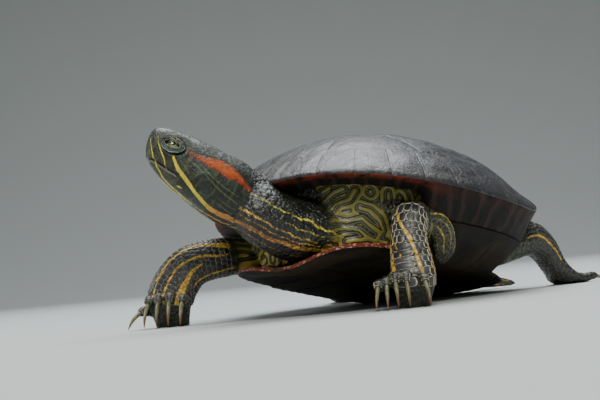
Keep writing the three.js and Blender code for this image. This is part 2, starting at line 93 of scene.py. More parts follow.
# The head's place and turns, its mouth, the eye's middle and radii, the lids' half width and half heights
# below and above at their opening, and their half width and half height at their outer edge.
HEAD_AT = np.array([-37.5, -140.1, 86.7])
HEAD_PITCH = 29.9
HEAD_TURN = -33.3
MOUTH_LEVEL = -3.6
MOUTH_SLOPE = 13.0
EYE_AT = np.array([5.9, 7.4, 5.7])
EYEBALL = np.array([4.1, 4.6, 4.2])
LID_OPENING = (3.75, 1.75, 1.6)
LID_EDGE = (6.1, 4.5)

# Each row gives a distance back from the snout, the top and the bottom there, and the width.
HEAD_SECTIONS = np.array([
    [-3.6, 9.4, 5.6, 4.6], [-2.8, 11.5, 1, 8.4], [-0.4, 13.1, -3.4, 11.6], [3.2, 14.4, -6.5, 15],
    [7.4, 15.2, -8.4, 18.6], [12.6, 15.8, -10.3, 21.8], [19, 16.1, -12.1, 25], [26.4, 16.2, -13.7, 28.6],
    [34, 16, -15.5, 30.2], [41.2, 16.4, -16.4, 30], [46.6, 16, -16.8, 29.2],
])
# Each row of a limb gives a centre, a width, a height and the way its upper side faces.
NECK = np.array([
    [-4.5, -100, 52, 28, 28.6, 0.25, 0.5, 0.82], [2, -87, 44.4, 31, 30.6, 0.05, 0.35, 0.93],
    [6.5, -72, 40.6, 38, 31, -0.05, 0.2, 0.98], [6, -52, 38, 42, 31, -0.1, 0.18, 0.98],
])
LIMBS = {
    "fore_left": np.array([
        [43.4, -31, 38, 19, 19, 0.1, 0.1, 1], [50.5, -44, 42, 19.6, 19.4, 0.1, 0, 1],
        [53.4, -56, 41.6, 17.6, 18.6, 0.25, -0.55, 0.8], [55.2, -62, 31.6, 18.6, 16, 0.5, -0.84, 0.2],
        [57.2, -64.8, 22, 21, 14.4, 0.52, -0.85, 0.1], [58.8, -67, 13, 22, 14, 0.54, -0.84, 0.05],
        [57.7, -66, 5, 17.8, 10.6, 0.54, -0.84, 0.05], [56.4, -64.2, -4, 14.4, 9.2, 0.54, -0.84, 0.05]]),
    "fore_right": np.array([
        [-37, -34, 30, 19, 17, 0.45, -0.3, 0.84], [-42, -56, 33, 20, 17, 0.56, -0.5, 0.6],
        [-51, -77, 33.4, 21, 16, 0.56, -0.8, 0.2], [-60.6, -88, 30.6, 22.4, 15.5, 0.5, -0.86, 0],
        [-67.6, -93, 23, 24, 15, 0.42, -0.9, 0], [-71.4, -95.6, 13.6, 24.8, 14.4, 0.36, -0.93, 0.05],
        [-72.2, -94.6, 5, 20.4, 10.8, 0.36, -0.93, 0.05], [-72.6, -93, -4, 17, 9.4, 0.36, -0.93, 0.05]]),
    "hind_left": np.array([
        [37, 42, 23, 24, 20, 0.1, 0.1, 1], [45, 62, 26.4, 24, 21, 0.1, 0, 1],
        [51.5, 78, 29, 21, 20, 0.1, 0.3, 1], [55, 90.5, 22.6, 18, 16, 0.25, 0.7, 0.7],
        [57, 99.5, 11.8, 17, 12, 0.2, 0.5, 0.85], [58.6, 110, 3.6, 23, 7.6, 0, 0.1, 1],
        [59.4, 121, 2.2, 28, 4.8, 0, 0, 1]]),
    "hind_right": np.array([
        [-34, 42, 17, 23, 18, 0, 0.1, 1], [-48, 50, 17, 23, 19, 0, 0.1, 1],
        [-63, 57, 17.4, 20, 18, -0.4, 0.1, 1], [-72, 66, 13.6, 17, 15, -0.7, 0.3, 0.7],
        [-76.5, 76, 8, 18, 11.6, -0.4, 0.3, 0.85], [-80, 88, 3.5, 24, 7.4, 0, 0, 1],
        [-83, 99, 2.2, 28, 4.8, 0, 0, 1]]),
    "tail": np.array([
        [2, 66, 13, 20, 17, 0, 0, 1], [2, 84, 10.8, 17, 14.6, 0, 0, 1], [4, 102, 7.4, 12, 10.6, 0, 0, 1],
        [8, 118, 4.6, 7.6, 6.8, 0, 0, 1], [13, 132, 2.6, 3.4, 3.2, 0, 0, 1],
        [14.5, 135, 2.2, 1, 1, 0, 0, 1]]),
}
# Loose skin of the armpit, which bulges out behind the raised left foreleg and lies on the bridge.
ARMPIT = np.array([
    [53, -47, 43.4, 13, 10, 0.74, -0.24, -0.63], [60, -43, 41, 12.6, 6.6, 0.74, -0.24, -0.63],
    [61, -37.7, 35.2, 13.6, 5.4, 0.74, -0.24, -0.63], [58.3, -32, 28.9, 14.4, 5.4, 0.74, -0.24, -0.63],
    [55.4, -27.4, 23.8, 12, 4.8, 0.74, -0.24, -0.63], [51.6, -23, 20, 5, 2.6, 0.74, -0.24, -0.63]])
# A foot's heel, heading, height of its roots and reach, its claws' length, width and bend, and for each
# digit its distance aside, its turn and its distance down.
HIND_DIGITS = [(-9.6, -20, 0), (-3.2, -7, 0), (3.2, 7, 0), (9.6, 20, 0)]
FEET = {
    "fore_left": dict(heel=(59, -67.6), heading=31, root=13, reach=8.6, claw=(13.1, 2.3, 20), digits=[
        (-16, -10, 2.2), (-12.9, -2, 1.4), (-9.6, 5, 0), (-4.8, 8, 0), (3.2, 14, 1.2)]),
    "fore_right": dict(heel=(-71.6, -96.6), heading=14, root=13, reach=8.6, claw=(13.1, 2.3, 20), digits=[
        (9.8, 11, 1), (3.2, 8, 0), (-2.8, 5, 0), (-7.8, -1, 0.6), (-11, -13, 4.6)]),
    "hind_left": dict(heel=(59, 118), heading=176, root=2.9, reach=8.2, claw=(8, 2.2, 10),
                      digits=HIND_DIGITS),
    "hind_right": dict(heel=(-82, 94.6), heading=-166, root=2.9, reach=9, claw=(8, 2.2, 10),
                       digits=HIND_DIGITS),
}
CLAW_CLEARANCE = 0.4
CLAW_SLIMNESS = 0.88
CLAW_TAPER = 0.84


# ---------- small sums ----------
def smooth(value, low, high):
    """Runs from 0 to 1 between two values, level at both ends."""
    share = np.clip((value - low) / (high - low), 0, 1)
    return share * share * (3 - 2 * share)


def power(value, exponent):
    """The power of a value's size, with its sign kept."""
    return np.sign(value) * np.abs(value) ** exponent


def mix(first, second, share):
    """The value at a share of the way from the first to the second."""
    return first + (second - first) * share


def bump(value, middle, spread):
    """A bell that is 1 at the middle and falls off over the spread."""
    return np.exp(-((value - middle) / spread) ** 2)


def unit(vectors):
    """Vectors divided by their lengths."""
    return vectors / np.linalg.norm(vectors, axis=-1, keepdims=True)


def spline(rows, stops):
    """A Catmull-Rom curve through the rows, at stops counted in rows."""
    rows = np.vstack([2 * rows[0] - rows[1], rows, 2 * rows[-1] - rows[-2]])
    low = np.clip(np.floor(stops).astype(int), 0, len(rows) - 4)
    share = (stops - low)[:, None]
    before, start, end, after = (rows[low + step] for step in range(4))
    return (start + 0.5 * share * (end - before)
            + 0.5 * share ** 2 * (2 * before - 5 * start + 4 * end - after)
            + 0.5 * share ** 3 * (3 * start - before - 3 * end + after))


def ripple(points, size, seed, waves=14):
    """Soft noise of about -1 to 1: the mean of sine waves of one length that run in random directions."""
    random = np.random.default_rng(seed)
    heading = unit(random.normal(size=(waves, 3))) * random.uniform(0.7, 1.4, (waves, 1))
    phase = random.uniform(0, 2 * np.pi, waves)
    return np.sin(points @ heading.T * (2 * np.pi / size) + phase).mean(1) * np.sqrt(waves / 2)


def turned(degrees, axis):
    """The matrix of a turn about an axis, 0 for X, 1 for Y or 2 for Z."""
    cos, sin = np.cos(np.radians(degrees)), np.sin(np.radians(degrees))
    first, second = [(1, 2), (2, 0), (0, 1)][axis]
    matrix = np.eye(3)
    matrix[first, first] = matrix[second, second] = cos
    matrix[first, second], matrix[second, first] = -sin, sin
    return matrix


SHELL_TURN = turned(-SHELL_PITCH, 0) @ turned(-SHELL_ROLL, 1)
HEAD_AXES = turned(HEAD_TURN, 2) @ turned(-HEAD_PITCH, 0)


def from_shell(points):
    """Points of the level shell, tilted and lifted to its place."""
    return points @ SHELL_TURN.T + [0, 0, SHELL_HEIGHT]


def from_head(points):
    """Points of the level head, turned and moved to its place."""
    return points @ HEAD_AXES.T + HEAD_AT


def into_head(points):
    """The way back: points as the level head has them, from its snout."""
    return (points - HEAD_AT) @ HEAD_AXES


def frame_shift():
    """How far the solids' frame lies from the measuring frame: the left eye is known in both."""
    low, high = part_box("eye_left")
    return (np.array(low) + np.array(high)) * 500 - from_head(EYE_AT)


SHIFT = frame_shift()


def to_frame(points):
    """Points in millimetres, shifted into the solids' frame and given in metres."""
    return (np.asarray(points, float) + SHIFT) / 1000


# ---------- lengths of flesh ----------
class Body:
    """A rounded length of flesh: at each stop of its centreline, directions along, aside and up, and a
    half width, a half height and a lean of its sides towards the top. Its sections are superellipses."""

    def __init__(self, centre, along, side, up, half, squareness=2.3):
        self.centre, self.along, self.side, self.up, self.half = centre, along, side, up, half
        self.squareness = squareness
        steps = np.linalg.norm(np.diff(centre, axis=0), axis=1)
        self.length = np.concatenate([[0], np.cumsum(steps)])

    def at(self, length):
        """Centre, aside, up and half sizes at distances along the body."""
        rows = np.hstack([self.centre, self.side, self.up, self.half])
        found = np.stack([np.interp(length, self.length, column) for column in rows.T], -1)
        return found[..., :3], unit(found[..., 3:6]), unit(found[..., 6:9]), found[..., 9:]

    def surface(self, length, turn, lift=0.0):
        """Points at distances along the body and turns round it, lifted off its surface."""
        centre, side, up, half = self.at(length)
        rise = power(np.sin(turn), 2 / self.squareness)
        wide = (half[..., 0] + lift) * power(np.cos(turn), 2 / self.squareness) * (1 - half[..., 2] * rise)
        tall = (half[..., 1] + lift) * rise
        return centre + wide[..., None] * side + tall[..., None] * up

    def locate(self, points):
        """For each point its distance along the body, its turn round it and its reach, which is 1 on the
        surface, all from the nearest stop of the centreline."""
        length, turn, reach = (np.empty(len(points)) for _ in range(3))
        for start in range(0, len(points), 20000):
            part = slice(start, start + 20000)
            some = points[part]
            gap = (some ** 2).sum(1)[:, None] - 2 * some @ self.centre.T + (self.centre ** 2).sum(1)
            near = gap.argmin(1)
            offset = some - self.centre[near]
            ahead = (offset * self.along[near]).sum(1)
            length[part] = self.length[near] + ahead
            centre, side, up, half = self.at(length[part])
            offset = some - centre
            tall = (offset * up).sum(1) / half[:, 1]
            lean = 1 - half[:, 2] * np.clip(tall, -1, 1)
            wide = (offset * side).sum(1) / half[:, 0] / lean
            turn[part] = np.arctan2(power(tall, self.squareness / 2), power(wide, self.squareness / 2))
            exponent = self.squareness
            reach[part] = (np.abs(tall) ** exponent + np.abs(wide) ** exponent) ** (1 / exponent)
        return length, turn, reach

    def tube(self, step, sides, inset=0.0):
        """Rings of points along the body, a step apart and set in from its surface."""
        stops = np.linspace(0, self.length[-1], max(3, int(self.length[-1] / step)))
        turns = np.linspace(0, 2 * np.pi, sides, endpoint=False)
        return self.surface(stops[:, None] + 0 * turns, turns + 0 * stops[:, None], -inset)


def limb_body(rows, steps=40):
    """A body from a limb's rows: every column follows a Catmull-Rom curve."""
    stops = np.linspace(0, len(rows) - 1, steps * (len(rows) - 1) + 1)
    faces = np.hstack([rows[:, :5], unit(rows[:, 5:])])
    found = spline(faces, stops)
    centre = found[:, :3]
    along = unit(np.gradient(centre, axis=0))
    side = unit(np.cross(found[:, 5:], along))
    up = np.cross(along, side)
    half = np.hstack([found[:, 3:5] / 2, np.zeros((len(stops), 1))])
    return Body(centre, along, side, up, half)


def head_and_neck():
    """One body from the snout to the base of the neck, with its sides towards the animal's left."""
    stops = np.linspace(0, len(HEAD_SECTIONS) - 1, 260)
    along, top, bottom, width = spline(HEAD_SECTIONS, stops).T
    centre = from_head(np.stack([0 * along, along, (top + bottom) / 2], 1))
    axes = np.broadcast_to(HEAD_AXES.T, (len(stops), 3, 3))
    half = np.stack([width / 2, (top - bottom) / 2, 0 * along + 0.12], 1)
    length = HEAD_SECTIONS[-1, 0]
    nape = [from_head(np.array([0, length + offset, -0.5])) for offset in (0.6, 9.6)]
    up = HEAD_AXES[:, 2]
    first = [[*nape[0], 29.2, 31.7, *up], [*nape[1], 28, 30, *up]]
    neck = limb_body(np.vstack([first, NECK]))
    fade = 1 - smooth(neck.length, 0, 25)
    neck.half[:, 2] = 0.12 * fade
    joined = [np.vstack(pair) for pair in (
        (centre, neck.centre), (axes[:, 1], neck.along), (axes[:, 0], -neck.side),
        (axes[:, 2], neck.up), (half, neck.half))]
    return Body(*joined, squareness=2.28)


NECK_BODY = head_and_neck()
LIMB_BODIES = {name: limb_body(rows) for name, rows in LIMBS.items()}
ARMPIT_BODY = limb_body(ARMPIT)


# ---------- the shell's form ----------
def margin(turn):
    """The shell's edge at turns from the front: ahead, aside, its sag and the rise of its rear corners.
    Seen from above it is a superellipse that widens to the rear."""
    ahead = power(np.cos(turn), 2 / SHELL_SQUARENESS)
    aside = power(np.sin(turn), 2 / SHELL_SQUARENESS) * (1 - REAR_WIDENING * ahead)
    sag = np.where(ahead > 0, LIFT_FRONT, LIFT_REAR) * ahead ** 2
    corner = CORNER_LIFT * bump(half_turn(turn), CORNER_TURN, CORNER_SPREAD)
    return HALF_LENGTH * ahead, HALF_WIDTH * aside, sag, corner


def half_turn(turn):
    """Degrees from the front, the same on both sides."""
    return np.degrees(np.arccos(np.clip(np.cos(turn), -1, 1)))


def dome_height(turn, radius):
    """Height of the dome over the margin's plane: a cap whose rim follows the edge and flares behind."""
    ahead, _, sag, corner = margin(turn)
    fullness = mix(*DOME_FULLNESS, np.cos(turn) ** 2)
    cap = DOME_HEIGHT * np.clip(1 - radius ** DOME_POWER, 0, 1) ** fullness
    rise = cap + sag * radius ** 2 + corner * radius ** 7
    flare = REAR_FLARE * smooth(-np.cos(turn), -0.2, 0.9) * bump(radius, 0.9, 0.07)
    return rise * (1 - DOME_REAR_BIAS * ahead * radius / HALF_LENGTH) - flare


def bridge_share(turn):
    """1 along the bridges between carapace and plastron, 0 fore and aft, with soft ends."""
    return smooth(half_turn(turn), *BRIDGE_FRONT) * (1 - smooth(half_turn(turn), *BRIDGE_REAR))


def rim_edge(turn):
    """Share and height of the inner edge of the underside of the marginal scutes."""
    _, _, sag, corner = margin(turn)
    bridge = bridge_share(turn)
    return mix(1 - RIM_WIDTH, SEAM_RADIUS, bridge), mix(sag + corner - RIM_DEPTH, SEAM_DROP, bridge)


def lobe_share(turn):
    """Share of the ray at which the plastron's outline, a superellipse for each lobe, is reached."""
    ahead, aside, _, _ = margin(turn)
    shares = [(np.abs(ahead / reach) ** square + np.abs(aside / half) ** square) ** (-1 / square)
              for reach, half, square in (LOBE_FRONT, LOBE_REAR)]
    return np.where(ahead > 0, *shares)


def plastron_height(turn, radius):
    """Height of the plastron: level, sunk in the middle of its front and raised at its rear."""
    ahead, aside, _, _ = margin(turn)
    chin = PLASTRON_CHIN * smooth(ahead * radius, 50, 88) * bump(aside * radius, 0, 22)
    return PLASTRON_DROP + chin + PLASTRON_REAR_RISE * smooth(-ahead * radius, 58, 96)


def on_rays(turn, radius, height):
    """Points on rays from the shell's axis, from shares of the ray and heights, carried to the frame."""
    ahead, aside, _, _ = margin(turn)
    return from_shell(np.stack([aside * radius, -ahead * radius, height + 0 * radius], -1))


def dense(rows, counts):
    """Straight steps between neighbouring rows of (share, height), so many to each pair."""
    filled = []
    for (first, second), count in zip(zip(rows[:-1], rows[1:]), counts):
        for step in range(count):
            filled.append([mix(a, b, step / count) for a, b in zip(first, second)])
    filled.append(list(rows[-1]))
    return filled


# ---------- the scutes ----------
SPINE_SEAMS = (-0.55, -0.19, 0.2, 0.58)
SIDE_SEAMS = (-0.37, 0.0, 0.39)
EDGE_SEAMS = (3, 17, 32, 46, 59, 72, 85, 98, 111, 125, 141, 160, 180)
SPINE_WIDTHS = ((-0.9, 0.36), (-0.74, 0.33), (-0.55, 0.2), (-0.37, 0.31), (-0.19, 0.215), (0, 0.32),
                (0.2, 0.22), (0.39, 0.31), (0.58, 0.23), (0.9, 0.33))
SPINE_PITCH = 38.0
SIDE_PITCH = 40.0
EDGE_PITCH = 21.0
FURROW_DEPTH = 1.2
CROSS_SEAMS = ((-88, 5.4), (-52, 5), (-12, 4), (22, 3), (46, 2), (66, 1), (90, 0.4))
CROSS_PITCH = 30.0


def scute_fields(turn, radius):
    """Where each point lies on the shell's plan of scutes. Gaps are in millimetres from the ring seam and
    from the seams beside the spine, rows count scutes along the spine, the sides and the edge, and are
    whole at their seams. The last is the distance to the nearest seam of any kind."""
    ahead, aside, _, _ = margin(turn)
    far, out = ahead * radius / HALF_LENGTH, np.abs(aside) * radius / HALF_WIDTH
    degrees = half_turn(turn) + 0 * radius
    ring = 0.825 + 0.03 * np.cos(np.radians(degrees)) + 0.012 * np.cos(np.radians(degrees * 4))
    ring_gap = (radius - ring) * np.hypot(ahead, aside)
    widths = np.array(SPINE_WIDTHS).T
    spine_gap = (out - np.interp(far, *widths)) * HALF_WIDTH * 0.85
    spine_row = np.interp(far, [-1.05, *SPINE_SEAMS, 1.05], [4.5, 4, 3, 2, 1, 0.5])
    leaning = far * (1 - 0.25 * (out - 0.3))
    side_row = np.interp(leaning, [-1.2, *SIDE_SEAMS, 1.2], [3.5, 3, 2, 1, 0.5])
    edge_row = np.interp(degrees, [0, *EDGE_SEAMS], [-0.5, *range(len(EDGE_SEAMS))])
    gap = [np.abs(row - np.round(row)) * pitch for row, pitch in (
        (spine_row, SPINE_PITCH), (side_row, SIDE_PITCH), (edge_row, EDGE_PITCH))]
    inner = np.minimum(np.abs(spine_gap), np.where(spine_gap < 0, gap[0], gap[1]))
    nearest = np.minimum(np.abs(ring_gap), np.where(ring_gap > 0, gap[2], inner))
    return dict(ring_gap=ring_gap, spine_gap=spine_gap, spine_row=spine_row, side_row=side_row,
                edge_row=edge_row, seam_gap=nearest)


def carapace_rows(turn):
    """Rows of shares of the ray and heights, and how many lie on top: over the dome to the sharp edge,
    under it along the marginals to the seam, and back inside a bone's thickness below the dome."""
    shares = np.concatenate([np.linspace(0.012, 0.9, 72), np.linspace(0.91, 1, 13)])
    _, _, sag, corner = margin(turn)
    lift = sag + corner
    radius, height = rim_edge(turn)
    bridge = bridge_share(turn)
    outside = [(share + 0 * turn, dome_height(turn, share)) for share in shares]
    lip = (0.997 + 0 * turn, lift - MARGIN_EDGE)
    wall = (mix(0.998, radius, 0.5), mix(lip[1], height, 0.45))
    seam_inside = (radius - mix(0, RIM_INSET, bridge), height + mix(3, 0.8, bridge))
    inner_corner = (mix(radius, 0.935, 0.65), lift + mix(1.4, 0, bridge))
    inside = [(share + 0 * turn, dome_height(turn, share) - BONE) for share in (0.93, 0.82, 0.66, 0.4, 0.06)]
    under = dense([outside[-1], lip, wall, (radius, height), seam_inside, inner_corner, *inside],
                  [3, 9, 9, 3, 3, 2, 2, 2, 2, 2])
    return np.array(outside + under[1:]), len(outside)


def long_furrows(turn, share, flat):
    """Depths of the furrows that run along the sides: the valleys of a ripple stretched round the shell,
    where a broad soft noise lets them through."""
    flank = half_turn(turn) + 0 * share
    beside = np.stack([share * HALF_WIDTH, 0.07 * HALF_LENGTH * np.radians(flank),
                       30 * np.sign(margin(turn)[1]) + 0 * share], -1).reshape(-1, 3)
    long = ripple(beside, 6.5, 21).reshape(share.shape)
    patchy = smooth(flank, 50, 85) * (1 - smooth(flank, 148, 168)) * smooth(share, 0.35, 0.6)
    patchy = patchy * smooth(ripple(flat, 45, 22).reshape(share.shape), -0.9, 0.3)
    return -FURROW_DEPTH * bump(long, -0.9, 0.5) * patchy


def carapace_form(sizes, turns=512):
    """The carapace: its rows, with seams sunk as bells of the gap to them, scutes that swell between
    them, furrows and wrinkles, and a notch in the edge at each seam. Fields tell its material where the
    scutes, the underside, the furrows and the front are."""
    turn = np.linspace(0, 2 * np.pi, turns, endpoint=False)
    rows, outside = carapace_rows(turn)
    share, rise = rows[:, 0], rows[:, 1]
    plan = scute_fields(turn, share)
    top = (np.arange(len(rows)) < outside)[:, None]
    flat = np.stack([share * margin(turn)[1], -share * margin(turn)[0], 0 * share], -1).reshape(-1, 3)
    wrinkle = ripple(flat * [1, 0.22, 1], 9, 3).reshape(share.shape)
    fine = ripple(flat * [1, 0.35, 1], 3.6, 4).reshape(share.shape)
    furrow = long_furrows(turn, share, flat)
    swell = sizes.scute_swell * (smooth(plan["seam_gap"], 0, 9) - 0.75)
    sunk = sizes.seam_depth * bump(plan["seam_gap"], 0, 0.8) * mix(1, 0.35, smooth(share, 0.86, 0.93))
    away = smooth(share, 0.0, 0.05) * (1 - 0.6 * smooth(share, 0.97, 1))
    rise = rise + np.where(top, (swell - sunk + furrow + 0.14 * wrinkle + 0.15 * fine) * away, 0)
    notch = 0.6 * bump(plan["edge_row"] - np.round(plan["edge_row"]), 0, 0.05) * smooth(share, 0.96, 1)
    share = share - notch / HALF_LENGTH
    below = np.clip((np.arange(len(rows)) - outside) / 18, -1, 2)[:, None] + 0 * share
    groove = np.where(top, smooth(-furrow, 0.25, 1.0), 0)
    front = 1 - smooth(half_turn(turn), 48, 72) + 0 * share
    return on_rays(turn, share, rise), dict(plan, below=below, groove=groove, front=front)


def plastron_form(turns=360):
    """The plastron: a shallow plate with a lobe fore and aft, whose bridges climb to the carapace."""
    turn = np.linspace(0, 2 * np.pi, turns, endpoint=False)
    seam, seam_height = rim_edge(turn)
    lobe, bridge = lobe_share(turn), bridge_share(turn)
    edge = plastron_height(turn, lobe)
    top = seam_height - 0.4
    under = [(share * lobe, plastron_height(turn, share * lobe)) for share in np.linspace(0.02, 0.93, 40)]
    keel = (lobe * mix(1, 1.06, bridge), edge + mix(1.2, 1.4, bridge))
    flank = (mix(lobe, mix(lobe, seam, 0.6), bridge), mix(edge + 2.4, mix(edge, top, 0.5), bridge))
    rim_out = (mix(lobe * 0.985, seam, bridge), mix(edge + BONE, top, bridge))
    rim_in = (mix(lobe * 0.95, seam - RIM_INSET, bridge), mix(edge + BONE, top, bridge))
    hollow = (lobe * 0.9, edge + BONE + bridge * 0.6)
    upper = [(share * lobe, plastron_height(turn, share * lobe) + BONE) for share in (0.5, 0.02)]
    rows = np.array(under + dense([under[-1], keel, flank, rim_out, rim_in, hollow, *upper],
                                  [4, 8, 8, 3, 4, 4, 3])[1:])
    share, rise = rows[:, 0], rows[:, 1]
    ahead, aside, _, _ = margin(turn)
    far, out = ahead * share, aside * share
    cross = np.interp(far, *np.array(CROSS_SEAMS).T)
    cross_gap = np.abs(cross - np.round(cross)) * CROSS_PITCH
    gap = np.minimum(np.abs(out), cross_gap)
    shown = (np.arange(len(rows)) < len(under) + 14)[:, None]
    flat = np.stack([out, -far, 0 * out], -1).reshape(-1, 3)
    grain = ripple(flat, 6, 8).reshape(out.shape)
    points = on_rays(turn, share, rise + np.where(shown, 0.5 * bump(gap, 0, 0.8) + 0.12 * grain, 0))
    points[..., 2] = np.maximum(points[..., 2], 0)
    past = np.arange(len(rows))[:, None] - len(under) + 0 * share
    rim = smooth(past, -2, 9) * (1 - smooth(past, 23, 27)) * (1 - 0.75 * smooth(-far, 10, 50))
    return points, dict(middle_gap=out, cross_row=cross, bridge=bridge + 0 * share, rim=rim)


# ---------- meshes ----------
def ring_quads(grid):
    """Quads between neighbouring rows of a grid of point numbers, whose columns close into rings."""
    ahead = np.roll(grid, -1, 1)
    return np.stack([grid[:-1], ahead[:-1], ahead[1:], grid[1:]], -1).reshape(-1, 4)


def tube_faces(rings, sides):
    """Quads between the rings of a closed tube, and a fan of triangles at each end."""
    grid = np.arange(rings * sides).reshape(rings, sides)
    ahead = np.roll(grid, -1, 1)
    first = np.stack([ahead[0], grid[0], 0 * grid[0] + rings * sides], -1)
    last = np.stack([grid[-1], ahead[-1], 0 * grid[-1] + rings * sides + 1], -1)
    return ring_quads(grid), np.vstack([first, last])


def closed_tube(rings):
    """Points and faces of a grid of rings, closed by a point in the middle of each end."""
    count, sides, _ = rings.shape
    points = np.vstack([rings.reshape(-1, 3), rings[0].mean(0), rings[-1].mean(0)])
    return points, tube_faces(count, sides)


def volume_of(points, faces):
    """Six times the signed volume inside the faces: negative when they are inside out."""
    total = 0.0
    for group in faces:
        for corner in range(1, group.shape[1] - 1):
            a, b, c = (points[group[:, index]] for index in (0, corner, corner + 1))
            total += (a * np.cross(b, c)).sum()
    return total


def outward(points, faces):
    """The same faces, turned over if they look inwards."""
    return faces if volume_of(points, faces) > 0 else tuple(group[:, ::-1] for group in faces)


def joined(pieces):
    """Several sets of points and faces as one."""
    points, quads, triangles, start = [], [], [], 0
    for some, faces in pieces:
        faces = outward(some, faces)
        points.append(some)
        quads.append(faces[0] + start)
        triangles.append(faces[1] + start)
        start += len(some)
    return np.vstack(points), (np.vstack(quads), np.vstack(triangles))


def mesh_of(name, points, faces):
    """A mesh from points in millimetres and groups of faces."""
    mesh = bpy.data.meshes.new(name)
    mesh.from_pydata(to_frame(points), [], [face for group in faces for face in group.tolist()])
    mesh.polygons.foreach_set("use_smooth", np.ones(len(mesh.polygons), bool))
    mesh.validate()
    return mesh


def write_fields(mesh, fields):
    """Stores each array of numbers as an attribute of the mesh's points."""
    for name, values in fields.items():
        layer = mesh.attributes.new(name, "FLOAT", "POINT")
        layer.data.foreach_set("value", np.asarray(values, np.float32).ravel())


def read_points(mesh):
    """A mesh's points in millimetres, and its normals."""
    points = np.empty(len(mesh.vertices) * 3, np.float32)
    normals = np.empty_like(points)
    mesh.vertices.foreach_get("co", points)
    mesh.vertices.foreach_get("normal", normals)
    return points.reshape(-1, 3).astype(float) * 1000 - SHIFT, normals.reshape(-1, 3).astype(float)


def move_points(mesh, points):
    """Puts a mesh's points where these are, in millimetres."""
    mesh.vertices.foreach_set("co", to_frame(points).astype(np.float32).ravel())
    mesh.update()


def add_piece(name, mesh, material, slot, *nodes):
    """Puts a finished mesh into the scene as a piece that rides on the animal and stands for nodes."""
    piece = bpy.data.objects.new(name, mesh)
    bpy.context.scene.collection.objects.link(piece)
    mesh.materials.clear()
    mesh.materials.append(material)
    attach(piece, "root")
    if nodes:
        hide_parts(*nodes)
    return piece


def corner_points(mesh):
    """The number of the point at each corner of each face."""
    corners = np.empty(len(mesh.loops), np.int32)
    mesh.loops.foreach_get("vertex_index", corners)
    return corners


def paint_faces(piece, name, level):
    """Gives a piece's second material to the faces whose corners' mean of a field is over a level."""
    mesh = piece.data
    values = np.empty(len(mesh.vertices))
    mesh.attributes[name].data.foreach_get("value", values)
    corners = corner_points(mesh)
    starts = np.empty(len(mesh.polygons), np.int32)
    mesh.polygons.foreach_get("loop_start", starts)
    means = np.add.reduceat(values[corners], starts) / np.diff(np.append(starts, len(corners)))
    mesh.polygons.foreach_set("material_index", (means > level).astype(np.int32))


# ---------- skin ----------
def curtain(front, plane=40.0, count=90):
    """The trunk's skin in one opening of the shell: a wall that hangs from inside the carapace's rim to
    the plastron's lobe, with the inner end of its folds on one plane across the shell."""
    sign = 1 if front else -1
    wide = np.linspace(0, 2 * np.pi, 7200)
    reach = sign * margin(wide)[0] * (rim_edge(wide)[0] - RIM_INSET)
    open_turns = half_turn(wide[reach > plane + 1.5])
    widest = open_turns.max() if front else 180 - open_turns.min()
    turn = np.radians(np.linspace(-widest, widest, count) + (0 if front else 180))
    ahead, _, sag, corner = margin(turn)
    lift = sag + corner
    radius, height = rim_edge(turn)
    bridge, lobe = bridge_share(turn), lobe_share(turn)
    inner = radius - RIM_INSET
    start = np.minimum(plane / np.abs(ahead), inner * 0.97)
    floor = plastron_height(turn, lobe * 0.88) + BONE + TRUNK_CLEARANCE
    shoulder = (inner - mix(0.015, 0.01, bridge), mix(lift - 1.5, lift - 4, bridge))
    waist = (mix(np.minimum(inner, lobe * 1.3) * 0.97, inner - 0.012, bridge),
             mix(mix(lift, floor, 0.5), height, bridge))
    hem = (np.minimum(inner - 0.03, lobe * 0.83), floor + 1)
    roof = [(share, dome_height(turn, share) - BONE - TRUNK_CLEARANCE)
            for share in (mix(start, inner, part) for part in (0, 0.3, 0.6, 0.9))]
    low = np.minimum(start, hem[0] * 0.98)
    base = [(share, plastron_height(turn, share) + BONE + TRUNK_CLEARANCE)
            for share in (mix(hem[0] * 0.98, low, part) for part in (0.3, 0.65, 1))]
    rows = dense([*roof, shoulder, waist, hem, *base], [3, 3, 3, 3, 12, 12, 3, 3, 3])
    share, rise = np.array([row[0] for row in rows]), np.array([row[1] for row in rows])
    return np.swapaxes(on_rays(turn, share, rise), 0, 1)


def digit_frames(foot):
    """For each digit of a foot: its root, its way ahead, its way aside and how steeply its claw falls."""
    length, _, _ = foot["claw"]
    base = turned(foot["heading"], 2)
    for aside, turn, down in foot["digits"]:
        axes = base @ turned(turn, 2)
        root = np.array([*foot["heel"], foot["root"]]) + base @ [aside, 0, -down]
        height = foot["root"] - down
        fall = np.arcsin((height - CLAW_CLEARANCE) / (length + 0.5))
        yield root, -axes[:, 1], axes[:, 0], fall, height


def falling(ahead, angle):
    """The way ahead, tipped down by an angle."""
    return ahead * np.cos(angle) - np.array([0, 0, 1.0]) * np.sin(angle)


def digit_body(foot, root, ahead, fall, height):
    """A digit: it arches over its knuckle and ends round the base of its claw."""
    _, width, bend = foot["claw"]
    start = fall - np.radians(bend)
    end = root + ahead * foot["reach"]
    knuckle = end - 3.6 * falling(ahead, start)
    thick = min(5.8, 2 * height - 0.4)
    back = root - 3 * ahead
    up = ahead * np.sin(start) + np.array([0, 0, np.cos(start)])
    rows = [[*back[:2], knuckle[2] - 1, 6.4, thick, 0, 0, 1],
            [*knuckle, 5.4, thick * 0.9, *(0.3 * ahead + [0, 0, 1])],
            [*end, width + 1.4, width * 1.3 + 1, *up]]
    return limb_body(np.array(rows), 12)


